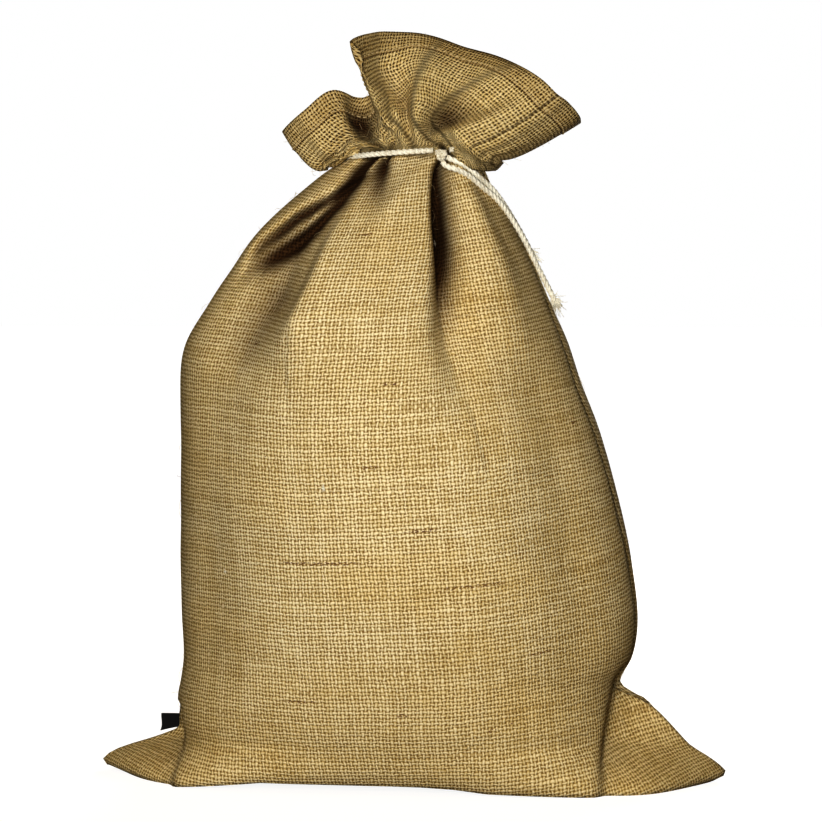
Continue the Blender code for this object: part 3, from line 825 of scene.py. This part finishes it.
def sackRows(shares):
    # under the sack from its bottom fold, up the body and out to the rim
    neck = sackForm["neckHeight"]
    low, tall, many = sackForm["lowTall"], sackForm["bodyTall"], sackForm["bodyRows"]
    heights = [*np.linspace(0.0, low, sackForm["lowRows"])]
    heights += [*np.linspace(low, tall, many)[1:], *np.linspace(tall, neck, many)[1:]]
    body = [bodyRing(height, bodyTurns(shares, height)) for height in heights]
    for ring, height in zip(body, heights):
        if height < bottomRise["fades"]:
            raised = np.interp(ring[:, 0], bottomRise["across"], bottomRise["up"])
            near = np.clip(-ring[:, 1] / bottomRise["depth"], 0.0, 1.0)
            ring[:, 2] += raised * near * (1.0 - height / bottomRise["fades"]) ** 2
    fold = body[0].copy()
    fold[:, 0] = 0.5 * (body[0][:, 0] + body[0][::-1, 0])
    fold[:, 1:] = 0.0
    inward = np.linspace(0.0, 1.0, sackForm["underRows"] + 1)[:-1]
    under = [fold + share * (body[0] - fold) for share in inward]
    band = (0.0, 0.0, sackForm["neckBand"] / 2.0)
    body[-1] = body[-1] - band
    where, ruffle = [], []
    swingShares = sackForm["swingFrom"], sackForm["swingTo"]
    for share in np.linspace(0.0, 1.0, sackForm["ruffleRows"]):
        # over the tie the right seam swings forward
        swing = float(smoothAt((0.0, *swingShares, 1.0), (0.0, 0.0, 1.0, 1.0), share))
        turns = turnsAt(shares, seamTurns[-1, 1] + swing * sackForm["seamSwing"], seamTurns[-1, 2])
        plain = sectionRing(neck, turns)
        plain = plain - frameOf(plain)[0] * sackForm["neckDrawn"]
        calm = float(smoothAt((0.0, sackForm["calmShare"], 1.0), (0.0, 1.0, 1.0), share))
        ring = bodyRing(neck, turns) * (1.0 - calm) + plain * calm + band
        where.append(turns % 1.0)
        ruffle.append(ruffleRing(ring, turns % 1.0, share))
    folded, sunk = foldRuffle(np.array(ruffle), where)
    return np.array(under + body + list(folded)), len(under + body) - 1, sunk


shares = sackShares()
rows, neckRow, ruffleSunk = sackRows(shares)
print("sack form worked out:", rows.shape)

# the weave's map: metres along the weft and up the warp
weaveMap = {
    "halfWidth": 0.40,
    "flatTall": 0.60,
    "rounds": 500,
    "leanSpread": 0.0004,
    "evenRow": 60,
    "hiddenFrom": 0.022,
    "hiddenLeast": 0.002,
    # how much painted shade the ruffle's folds get for their depth
    "ruffleShadeWeight": 1.6,
    "creaseWide": 0.0006,
    # ruffle creases that hide gathered cloth: share of the way round, share of the cloth
    "ruffleFront": ((0.085, 0.2), (0.15, 0.2), (0.21, 0.15), (0.255, 0.1), (0.328, 0.25), (0.4, 0.1)),
    "ruffleBack": ((0.57, 0.2), (0.66, 0.35), (0.76, 0.15), (0.85, 0.3)),
}

# across from the right seam, height, how far the warp leans left going up, how far the weft
# rises going left, in degrees
frontLean = (
    (0.05, 0.03, 4, -10), (0.05, 0.12, 5, -11), (0.25, 0.06, 4, -8), (0.25, 0.15, 5, -8),
    (0.5, 0, 4, -1), (0.5, 0.12, 4.5, -4), (0.5, 0.2, 4.5, -4.5), (0.5, 0.28, 2, -3),
    (0.5, 0.36, -4.5, -3), (0.75, 0.02, 2.5, 0), (0.75, 0.1, 2.5, 0), (0.95, 0.1, 2, 0),
    (0.75, 0.2, 2, 0), (0.95, 0.2, 2, 1), (0.72, 0.3, -14, 8), (0.9, 0.29, -6, 4),
    (0.75, 0.35, -18, 12), (0.92, 0.35, -8, 6), (0.2, 0.29, 6, -8), (0.05, 0.25, 5, -8),
    (0.15, 0.36, 12, -12), (0.3, 0.36, 4, -6),
)
backLean = (
    (0.05, 0.1, 0, 2), (0.5, 0.1, -2, 1), (0.95, 0.1, -3, 4), (0.5, 0.3, 0, 0),
    (0.15, 0.35, 14, -12), (0.85, 0.35, -14, 12), (0.5, 0.22, -2, 1.5),
)


def leanAt(table, share, height):
    # lean and rise at each place, weighed by how near the table's places are
    total, leans = np.zeros(share.shape), np.zeros(share.shape + (2,))
    for across, level, lean, rise in table:
        apart = ((share - across) * weaveMap["halfWidth"]) ** 2 + (height - level) ** 2
        weight = 1.0 / (apart + weaveMap["leanSpread"]) ** 2
        total += weight
        leans += weight[..., None] * (lean, rise)
    return np.radians(leans / total[..., None])


def threadSteps(points, table, hidden, share):
    # along the rings, then up the columns: both ends of each step, how firmly it holds and the
    # weft and warp that it should cross
    up, across = points.shape[:2]
    ring = unit(np.gradient(points, axis=1))
    share = np.broadcast_to((share - share[0]) / (share[-1] - share[0]), (up, across))
    leans = leanAt(table, share, points[:, :, 2])
    everything, early, late = slice(None), slice(0, -1), slice(1, None)
    laid = []
    for first, second, rises in (((everything, early), (everything, late), 0.0),
                                 ((early, everything), (late, everything), 1.0)):
        step = points[second] - points[first]
        level = np.sum(step * 0.5 * (ring[first] + ring[second]), axis=2)
        climb = np.sqrt(np.maximum(np.sum(step**2, axis=2) - level**2, 0.0)) * rises
        lean, rise = np.moveaxis(0.5 * (leans[first] + leans[second]), 2, 0)
        size = np.cos(lean + rise)
        weft = (level * np.cos(lean) - climb * np.sin(lean)) / size
        warp = (climb * np.cos(rise) - level * np.sin(rise)) / size
        hold = np.minimum(hidden[first], hidden[second]) / np.maximum(np.sum(step**2, axis=2), 1e-9)
        laid.append((first, second, hold, (weft, warp)))
    return laid


def pullOf(laid, shape, wanted):
    # what the steps pull at each point
    force = np.zeros(shape)
    for first, second, hold, crossed in laid:
        flow = hold * wanted(first, second, crossed)
        force[second] += flow
        force[first] -= flow
    return force


def layThreads(points, table, hidden, share):
    # thread counts whose lines run at the given leans with even spacing, by least squares;
    # what will not fit is taken up where the cloth is hidden in a fold
    shape = points.shape[:2]
    laid = threadSteps(points, table, hidden, share)
    size = np.full(shape, 1e-9)
    for first, second, hold, _ in laid:
        size[first] += hold
        size[second] += hold
    counts = []
    for which, axis in ((0, 1), (1, 0)):
        value = np.zeros(shape)
        value[laid[which][1]] = np.cumsum(laid[which][3][which], axis=axis)
        rest = pullOf(laid, shape, lambda first, second, crossed: crossed[which])
        rest -= pullOf(laid, shape, lambda first, second, crossed: value[second] - value[first])
        ready = rest / size
        way, strength = ready.copy(), np.sum(rest * ready)
        for _ in range(weaveMap["rounds"]):
            force = pullOf(laid, shape, lambda first, second, crossed: way[second] - way[first])
            reach = strength / max(np.sum(way * force), 1e-30)
            value += reach * way
            rest -= reach * force
            ready = rest / size
            renewed = np.sum(rest * ready)
            way = ready + renewed / max(strength, 1e-30) * way
            strength = renewed
        counts.append(value)
    return counts


def ruffleAcross(walked, side, shares, hidden, tight):
    # along the rim; nearer the neck the cloth that finds no room is hidden in the creases
    value = walked - walked[0]
    width = weaveMap["halfWidth"]
    spare = width - value[-1]
    if spare <= 0.0:
        return value * width / value[-1] + width * side
    for place, share in hidden:
        middle = np.interp(place, shares, walked) - walked[0]
        step = 1.0 / (1.0 + np.exp(-np.clip((walked - walked[0] - middle) / tight, -30, 30)))
        value = value + spare * share * (step - step[0]) / (step[-1] - step[0])
    return value + width * side


def weaveUvs(rows, neckRow, shares):
    uvs = np.zeros(rows.shape[:2] + (2,))
    middle, width = len(shares) // 2, weaveMap["halfWidth"]
    hidden, sunk = np.ones(rows.shape[:2]), np.zeros(rows.shape[:2] + (2,))
    for row in range(sackForm["underRows"], neckRow + 1):
        height = rows[row, 0, 2]
        where = bodyTurns(shares, height)
        kept = np.maximum(foldShift(where, height, sectionRing(height, where))[3], 0.0)
        hidden[row] = 1.0 / (1.0 + (kept / weaveMap["hiddenFrom"]) ** 4)
        # this depth sets the painted shade in the folds
        sunk[row, :, 0] = kept
    hidden = np.maximum(hidden, weaveMap["hiddenLeast"])
    body, above = slice(0, neckRow + 1), slice(neckRow + 1, None)
    climbed = distancesOf(rows[above])
    for side, span, table in ((0, slice(0, middle), frontLean), (1, slice(middle, None), backLean)):
        weft, warp = layThreads(rows[body, span], table, hidden[body, span], shares[span])
        mid = weft.shape[1] // 2
        uvs[body, span, 0] = weft - weft[weaveMap["evenRow"], mid] + 0.5 * width + width * side
        uvs[body, span, 1] = warp - warp[0, mid]
        creases = weaveMap["ruffleBack" if side else "ruffleFront"]
        for row in range(neckRow + 1, len(rows)):
            share = (row - neckRow) / (len(rows) - 1 - neckRow)
            walked = distancesOf(rows[row, span])
            tight = weaveMap["creaseWide"] * (1.0 + share)
            uvs[row, span, 0] = ruffleAcross(walked, side, shares[span], creases, tight)
        uvs[above, span, 1] = weaveMap["flatTall"] - (climbed[-1] - climbed)[:, span]
    # the ruffle's fold depth sets its painted shade; the second value marks the ruffle
    sunk[above, :, 0] = weaveMap["ruffleShadeWeight"] * np.maximum(ruffleSunk, 0.0)
    sunk[above, :, 1] = 1.0
    return uvs, sunk


uvs, sunk = weaveUvs(rows, neckRow, shares)
print("weave laid out")

hessian = {
    "warpPitch": 0.00222,
    "weftPitch": 0.00250,
    "wanderFine": 22.0,
    "warpWander": (1.10, 0.0),                   # threads, and which layer of the noise
    "weftWander": (1.00, 0.7),
    "shakeFine": 280.0,
    "warpShake": (0.62, 0.0),
    "weftShake": (0.56, 3.1),
    "threadWide": (0.21, 0.45),
    "slubWide": 0.14,
    "under": 0.25,                               # how high a thread stays where it passes under
    # where each comes in, as spans of its noise or of the threads' height
    "slubSpan": (0.68, 0.78),
    "brownSpan": (0.60, 0.72),
    "warmSpan": (0.50, 0.68),
    "fleckSpan": (0.74, 0.80),
    "dashSpan": (0.46, 0.60),
    "holeSpan": (0.0, 0.55),
    "yarnSpan": (0.76, 1.61),
    # crest: where the painted highlight on the thread tops comes in
    "crest": (0.45, 1.0, 0.0, 0.70),
    "shares": (0.32, 0.62, 0.80),                # of each thread's tone, the patches and the fibres
    "light": (0.870, 0.775, 0.55),
    "mid": (0.60, 0.468, 0.225),
    "dark": (0.39, 0.265, 0.085),
    "bark": (0.16, 0.055, 0.005),
    # tint for the warmer patches, the lower cloth, and painted shade near the side seams
    "warmAndShadeTint": (0.98, 0.92, 0.78),
    # hole colour: painted shade of the inside seen through the gaps
    "hole": (0.29, 0.185, 0.056),
    "looseHole": (0.085, 0.050, 0.016),
    # painted shade for the less lit ruffle
    "rufflePaintedShade": (0.95, 0.91, 0.79),
    # the hem's tint: denser doubled cloth, and painted shade for light that passes the single layer but not
    # the hem
    "hemDenserAndShaded": (0.87, 0.84, 0.79),
    "hemEdge": (0.50, 0.44, 0.38),
    # painted shade deep in the folds: its colour, and the depths where it begins and is full
    "foldShadowColour": (0.12, 0.07, 0.035),
    "foldShadowFrom": 0.006,
    "foldShadowFull": 0.031,
    "slubTone": 0.45,
    "brownTone": 0.40,
    "fleckTone": 0.80,
    "markTone": 0.86,
    "seamTone": 0.75,
    "seamDots": 0.0034,
    "seamSpan": (0.0016, 0.0006),
    "rough": 0.82,
    "shine": 0.2,
    "relief": 0.00050,
}

# darker stretches of weft on the front: across, height, half as long
weftMarks = thousandths((
    (-47, 149, 28), (50, 136, 22), (16, 168, 11), (-16.5, 205.5, 6), (-4.7, 260, 5), (-22, 352, 5),
    (-92.5, 282, 4), (108, 232, 3), (5, 54, 4), (58, 42, 3), (-61, 60, 12), (88, 90, 9),
))


def nearestFront(across, height):
    # the row and column of the cloth's front nearest to a place
    front = rows[:neckRow, :len(shares) // 2]
    away = np.hypot(front[:, :, 0] - across, front[:, :, 2] - height) + 9.0 * (front[:, :, 1] > -0.002)
    return np.unravel_index(int(np.argmin(away)), away.shape)


def countThreads(s, along, across, thread, values):
    # threads counted along the cloth; they wander a little
    far, layer = values[thread + "Wander"]
    wander = (s.noise((along, across, layer), values["wanderFine"], 1.0) - 0.5) * far
    far, layer = values[thread + "Shake"]
    shake = (s.noise((along, across, layer), values["shakeFine"], 0.0) - 0.5) * far
    return along / values[thread + "Pitch"] + (wander + shake)


def roundBack(s, count, wide):
    # how high a thread's round back is across its width
    share = abs(s.math("FRACT", count) - 0.5) / wide
    return s.math("SQRT", (1.0 - share * share).clamped())


def weftMark(u, v, dash, across, height, half):
    u0, v0 = (float(part) for part in uvs[nearestFront(across, height)])
    level = abs(v - v0).remap(0.0014, 0.0008)
    return abs(u - u0).remap(half, 0.6 * half) * (level * dash)


def hessianMaterial(values):
    s = Shader("hessian")
    u, v = s.map("weave")
    sideSeam, rimBelow = s.map("trim")
    foldShadowDepth, loose = s.map("sunk")
    countU = countThreads(s, u, v, "warp", values)
    countV = countThreads(s, v, u, "weft", values)
    warpId, weftId = s.math("FLOOR", countU), s.math("FLOOR", countV)
    # thickness of each thread, uneven along its length, with slubs in the weft
    low, high = values["threadWide"]
    warpWide = s.noise((warpId * 7.31, countV * 0.13), 1.0, 3.0, 0.65).remap(0.25, 0.75, low, high, False)
    weftNoise = s.noise((countU * 0.10, weftId * 5.77), 1.0, 3.0, 0.65)
    slub = weftNoise.remap(*values["slubSpan"])
    weftWide = weftNoise.remap(0.25, 0.75, low, high, False) + slub * values["slubWide"]
    # each thread passes over and under the others
    sineU, sineV = (s.math("SINE", count * math.pi) for count in (countU, countV))
    warpOver = (s.math("SIGN", sineU) * sineV).timesPlus(0.5, 0.5)
    weftOver = (s.math("SIGN", sineV) * sineU).timesPlus(-0.5, 0.5)
    under = values["under"]
    warpHigh = roundBack(s, countU, warpWide) * warpOver.timesPlus(1.0 - under, under)
    weftHigh = roundBack(s, countV, weftWide) * weftOver.timesPlus(1.0 - under, under)
    height = s.math("MAXIMUM", warpHigh, weftHigh)
    warpOnTop = s.math("GREATER_THAN", warpHigh, weftHigh)
    weftOnTop = 1.0 - warpOnTop
    # tone of each thread and of the cloth; fibres run along the thread that lies on top
    tone = s.white((warpId, 3.0)) * warpOnTop + s.white((9.0, weftId)) * weftOnTop
    patch = s.noise((u * 0.6, v), 34.0, 5.0, 0.72)
    fibres = s.noise((countU * 5.0, countV * 0.9)) * warpOnTop
    fibres = fibres + s.noise((countU * 0.9, countV * 5.0)) * weftOnTop
    ofTone, ofPatch, ofFibres = values["shares"]
    blend = tone.timesPlus(ofTone, patch.timesPlus(ofPatch, fibres * ofFibres))
    # thread tops are painted lighter where they rise highest: a painted highlight, added to each thread's
    # own tone
    crest = height.remap(*values["crest"], False)
    yarn = s.mix((blend + crest).remap(*values["yarnSpan"]), values["mid"], values["light"])
    yarn = s.mix(slub * values["slubTone"], yarn, values["dark"])
    # some threads run brown for a stretch, and whole patches are warmer; the cloth is also warmer and darker
    # towards the bottom, and near the side seams as painted shade where the flanks turn from the light
    brown = s.noise((countU * 0.045, weftId * 3.31), 1.0, 1.0).remap(*values["brownSpan"]) * weftOnTop
    yarn = s.mix(brown * values["brownTone"], yarn, values["dark"])
    warmAndShade = s.noise((u * 0.8, v, 4.0), 13.0, 2.0, 0.6).remap(*values["warmSpan"])
    warmAndShade = warmAndShade.timesPlus(0.45, v.remap(0.20, 0.02, 0.0, 0.80))
    warmAndShade = (warmAndShade + sideSeam.remap(0.13, 0.03, 0.0, 0.45)).clamped() * (1.0 - loose).clamped()
    yarn = s.tint(warmAndShade, yarn, values["warmAndShadeTint"])
    # short dark flecks of bark
    fleck = s.noise((u * 300.0, v * 900.0), 1.0, 1.0).remap(*values["fleckSpan"])
    yarn = s.mix(fleck * values["fleckTone"], yarn, values["bark"])
    dash = s.noise((u * 520.0, v * 900.0), 1.0, 1.0).remap(*values["dashSpan"])
    for place in weftMarks:
        yarn = s.mix(weftMark(u, v, dash, *place) * values["markTone"], yarn, values["bark"])
    # holes between the threads, the looser ruffle, its hem and the painted shade deep in the folds
    # the holes are painted dark as shade for the inside seen through them, darker still in the ruffle, and
    # the threads darken as they dip low: painted shade between them
    hole = s.mix(loose, values["hole"], values["looseHole"])
    colour = s.mix(height.remap(*values["holeSpan"]), hole, yarn)
    # the whole ruffle is tinted darker and browner: painted shade for the less lit ruffle
    colour = s.tint(loose, colour, values["rufflePaintedShade"])
    deep = sackForm["hemDeep"]
    # the hem is darker: its doubled cloth is denser, and painted shade stands for light that passes the
    # single layer but not the hem
    hem = rimBelow.remap(deep + 0.0006, deep - 0.0006, 0.0, 1.0, False) * loose
    colour = s.tint(hem, colour, values["hemDenserAndShaded"])
    edge = abs(rimBelow - (deep + 0.0004)).remap(0.0007, 0.0002) * loose
    colour = s.tint(edge, colour, values["hemEdge"])
    # painted shade deep in the folds, darker the deeper they are
    colour = s.tint(foldShadowDepth.remap(values["foldShadowFrom"], values["foldShadowFull"]), colour, values["foldShadowColour"])
    # needle holes along the side seams
    dots = s.math("SINE", v * (2.0 * math.pi / values["seamDots"]))
    seam = sideSeam.remap(*values["seamSpan"]) * dots.remap(-0.3, 0.5, 0.35, 1.0)
    s.paint(s.mix(seam * values["seamTone"], colour, values["looseHole"]), values["rough"])
    s.surface["Specular IOR Level"].default_value = values["shine"]
    s.bump(fibres.timesPlus(0.22, height), values["relief"])
    return s.material


def rimReach():
    # how far each point lies below the rim, along the cloth
    up = distancesOf(rows)
    return up[-1] - up


def trimMap():
    # for the finish: metres from the nearer side seam, metres from the rim
    trim = np.zeros(rows.shape[:2] + (2,))
    middle = len(shares) // 2
    for row in range(len(rows)):
        for span in (slice(0, middle), slice(middle, None)):
            walked = distancesOf(rows[row, span])
            trim[row, span, 0] = np.minimum(walked, walked[-1] - walked)
    trim[:, :, 1] = rimReach()
    return trim


def sackCloth():
    bm = bmesh.new()
    layGrid(bm, rows + stand, {"weave": uvs, "trim": trimMap(), "sunk": sunk}, doubles=1e-5)
    cloth = finishPiece("sackCloth", bm, hessianMaterial(hessian), "sack")
    trim = cloth.data.uv_layers["trim"].data
    hemmed = set()
    for face in cloth.data.polygons:
        for corner, vertex in zip(face.loop_indices, face.vertices):
            if trim[corner].uv[1] < sackForm["hemDeep"] and cloth.data.vertices[vertex].co.z > 0.40:
                hemmed.add(vertex)
    cloth.vertex_groups.new(name="hem").add(sorted(hemmed), 1.0, "REPLACE")
    shell = cloth.modifiers.new("wall", "SOLIDIFY")
    shell.thickness = sackForm["hemWall"]
    shell.offset = -1.0
    shell.vertex_group = "hem"
    shell.thickness_vertex_group = sackForm["wall"] / sackForm["hemWall"]
    return cloth


cloth = sackCloth()
print("cloth made:", len(cloth.data.polygons), "faces")


def neckTie(values):
    clear = values["thick"] / 2.0 + values["gap"]
    first = values["knotTurn"] + values["knotShare"]
    turns = np.linspace(first, first + 1.0 - 2.0 * values["knotShare"], 65)
    path = sectionRing(values["neckHeight"], turns, clear) + stand
    path[:, 2] += values["tilt"] * (path[:, 0] - path[:, 0].mean()) * (path[:, 1] < 0.0)
    count = int(distancesOf(path)[-1] / values["step"])
    twistedCord("neckTie", evenPath(path, count), values["thick"], "neck_tie")


neckTie(cordWork)
print("neck tied")

sewing = {
    "stitch": 0.0030,
    "step": 0.0043,
    "thick": 0.00034,
    "above": 0.00030,
    "sunk": 0.0004,
    "first": 0.002,
    "hemInset": 0.0012,
    "fibres": 620,
    "fibreLong": (0.003, 0.011),
    "fibreThick": 0.00008,
    "shade": (0.80, 0.66, 0.40),
    # bits of lint on the front: across, height, how many hairs
    "lintPlaces": ((-0.0440, 0.1945, 46), (-0.1110, 0.139, 10), (0.0175, 0.345, 14)),
    "lintLong": 0.0011,
}


def sewingMaterial(values):
    s = Shader("juteThread")
    grain = s.noise(s.place(), 1500.0).remap(0.3, 0.7)
    s.paint(s.mix(grain, tuple(0.7 * part for part in values["shade"]), values["shade"]), 0.8)
    return s.material


juteThread = sewingMaterial(sewing)


def outwardOf(points):
    # directions out of the cloth for a grid of its points
    return unit(np.cross(np.gradient(points, axis=0), np.gradient(points, axis=1)))


def hemStitches(values):
    # one row of running stitches a hem's depth below the rim
    ruffle, below = rows[neckRow + 1:], rimReach()[neckRow + 1:]
    facing = outwardOf(ruffle)
    line, out = [], []
    for column in range(len(shares)):
        depth = below[:, column][::-1]
        at = np.interp(sackForm["hemDeep"] - values["hemInset"], depth, np.arange(len(depth))[::-1])
        low = min(int(at), len(depth) - 2)
        part = at - low
        line.append(ruffle[low, column] * (1.0 - part) + ruffle[low + 1, column] * part)
        out.append(facing[low, column])
    line, out = np.array(line), np.array(out)
    walked = distancesOf(line)
    above, sunkIn = values["above"], -values["sunk"]
    lift = np.array((sunkIn, 0.6 * above, above, 0.6 * above, sunkIn))
    bm = bmesh.new()
    for start in np.arange(values["first"], walked[-1] - values["step"], values["step"]):
        where = start + values["stitch"] * np.linspace(0.0, 1.0, 5)
        path = pointsAt(where, walked, line) + pointsAt(where, walked, out) * lift[:, None] + stand
        layTube(bm, path, values["thick"], 6)
    finishPiece("hemStitches", bm, juteThread)


def strayFibres(values):
    # short hairs that stand off the cloth all over
    rand = np.random.default_rng(11)
    facing = outwardOf(rows)
    along = np.linspace(0.0, 1.0, 7)[:, None]
    bm = bmesh.new()
    for _ in range(values["fibres"]):
        row = int(rand.integers(sackForm["underRows"] + 6, len(rows) - 2))
        column = int(rand.integers(2, len(shares) - 2))
        start, out = rows[row, column], facing[row, column]
        side = unit(np.cross(out, rand.normal(0.0, 1.0, 3)))
        reach = rand.uniform(*values["fibreLong"])
        rise = 0.22 * np.sin(math.pi * along * rand.uniform(0.5, 0.95))
        line = start + reach * (side * along + out * rise + rand.normal(0.0, 0.12, 3) * along**2)
        layTube(bm, line + out * 0.0001 + stand, np.linspace(1.2, 0.6, 7) * values["fibreThick"], 4)
    finishPiece("strayFibres", bm, juteThread)


def whiteLint(values):
    # bits of cotton lint caught on the front
    rand = np.random.default_rng(5)
    facing = outwardOf(rows)
    along = np.linspace(0.0, 1.0, 6)[:, None]
    bm = bmesh.new()
    for across, height, count in values["lintPlaces"]:
        row, column = nearestFront(across, height)
        start, out = rows[row, column], facing[row, column]
        for _ in range(count):
            lean = rand.normal(0.0, 1.0, 3) * (0.45, 0.3, 1.0) + out * 0.7
            line = lean * along + rand.normal(0.0, 0.5, 3) * along**2
            line = start + stand + out * 0.0004 + values["lintLong"] * line
            layTube(bm, line, np.linspace(3.2, 1.0, 6) * values["fibreThick"], 4)
    finishPiece("whiteLint", bm, cotton)


hemStitches(sewing)
strayFibres(sewing)
whiteLint(sewing)
print("hem sewn, fibres strewn")

labelWork = {
    "out": 0.0112,
    "inside": 0.0045,
    "thick": 0.0014,
    "low": 0.0292,
    "top": 0.0375,
    "drop": 0.0032,
    "bulge": 0.0003,
    "tape": 0.0005,
    "shade": (0.010, 0.010, 0.011),
    "thread": 0.00035,
}


def labelMaterial(values):
    s = Shader("blackTape")
    ribs = [s.math("SINE", count * (2.0 * math.pi / values["thread"])) for count in s.map("weave")]
    rib = ribs[0] * ribs[1]
    lit = tuple(2.4 * part for part in values["shade"])
    s.paint(s.mix(rib.remap(-1.0, 1.0), values["shade"], lit), 0.62)
    s.bump(rib, 0.00008)
    return s.material


def addLabel(values):
    # a tape folded in two, its fold outermost and its front corner hanging
    reach = values["out"] + values["inside"]
    half = (values["thick"] - values["tape"]) / 2.0
    flat, bend = np.linspace(0.0, 0.93, 12), np.linspace(0.5, 1.5, 9)[1:-1] * math.pi
    rings, layers = [], []
    for up in np.linspace(0.0, 1.0, 13):
        height = values["low"] + up * (values["top"] - values["low"])
        columns = columnsAt(bodySections, height)
        seam = values["inside"] - (columns[1] + columns[5])
        centre = seam - reach + half + values["tape"] / 2.0
        line = [(seam - reach * share, half + values["bulge"] * math.sin(math.pi * share)) for share in flat]
        line += [(centre + half * math.cos(angle), half * math.sin(angle)) for angle in bend]
        line += [(seam - reach * share, -half) for share in flat[::-1]]
        hang = values["drop"] * (1.0 - up)
        ring = np.array([(x, y, height - hang * ((seam - x) / reach) ** 1.4) for x, y in line])
        rings.append(ring)
        layers.append(np.column_stack((distancesOf(ring), np.full(len(ring), height))))
    bm = bmesh.new()
    layGrid(bm, np.array(rings) + stand, {"weave": np.array(layers)})
    label = finishPiece("blackLabel", bm, labelMaterial(values), "label")
    shell = label.modifiers.new("tape", "SOLIDIFY")
    shell.thickness = values["tape"]
    shell.offset = 0.0


addLabel(labelWork)
print("label made")

studio = {
    "floorTone": (0.15, 0.125, 0.09),
    "floorGlow": (0.93, 1.05),
    "glowReach": (0.35, 1.30),
    "world": 0.052,
    "fillTint": (1.0, 0.83, 0.52),
    "aim": (0.0, 0.0, 0.22),
    # place, size, power
    "key": ((0.02, -1.25, 0.40), 0.35, 16.0),
    "back": ((0.25, 1.3, 0.55), 0.8, 14.0),
    "top": ((0.0, -0.2, 1.8), 0.8, 4.0),
    "contrast": 0.64,
}


def softBox(name, place, size, power, tint=(1.0, 1.0, 1.0)):
    data = bpy.data.lights.new(name, "AREA")
    data.shape = "DISK"
    data.size = size
    data.energy = power
    data.color = tint
    lamp = bpy.data.objects.new(name, data)
    lamp.location = place
    lamp.rotation_euler = (Vector(place) - Vector(studio["aim"])).to_track_quat("Z", "Y").to_euler()
    scene.collection.objects.link(lamp)


def addFloor(values):
    bm = bmesh.new()
    bmesh.ops.create_grid(bm, x_segments=1, y_segments=1, size=30.0)
    floor = finishMesh("floor", bm)
    s = Shader("floorPaint")
    s.paint((*values["floorTone"], 1.0), 0.9)
    apart = s.make("VectorMath", "Value", {0: s.place()}, operation="LENGTH")
    fade = apart.remap(*values["glowReach"], *values["floorGlow"])
    sight = s.make("LightPath", "Is Camera Ray", {})
    s.surface["Emission Color"].default_value = (1.0, 1.0, 1.0, 1.0)
    s.feed(s.surface["Emission Strength"], sight * fade)
    floor.data.materials.append(s.material)


def addSky(values):
    # warm fill for the cloth, and the white that the camera sees
    world = bpy.data.worlds.new("studio")
    world.use_nodes = True
    nodes, links = world.node_tree.nodes, world.node_tree.links
    fill = nodes["Background"]
    kinds = ("Background", "LightPath", "MixShader")
    backdrop, sight, either = (nodes.new("ShaderNode" + kind) for kind in kinds)
    fill.inputs[0].default_value = (*values["fillTint"], 1.0)
    fill.inputs[1].default_value = values["world"]
    backdrop.inputs[0].default_value = (1.0, 1.0, 1.0, 1.0)
    backdrop.inputs[1].default_value = 1.0
    links.new(sight.outputs["Is Camera Ray"], either.inputs[0])
    links.new(fill.outputs[0], either.inputs[1])
    links.new(backdrop.outputs[0], either.inputs[2])
    links.new(either.outputs[0], nodes["World Output"].inputs[0])
    scene.world = world
    scene.view_settings.view_transform = "Standard"
    scene.view_settings.gamma = values["contrast"]


addFloor(studio)
addSky(studio)
softBox("keyLight", *studio["key"])
softBox("backLight", *studio["back"])
softBox("topLight", *studio["top"], studio["fillTint"])
print("studio lit")
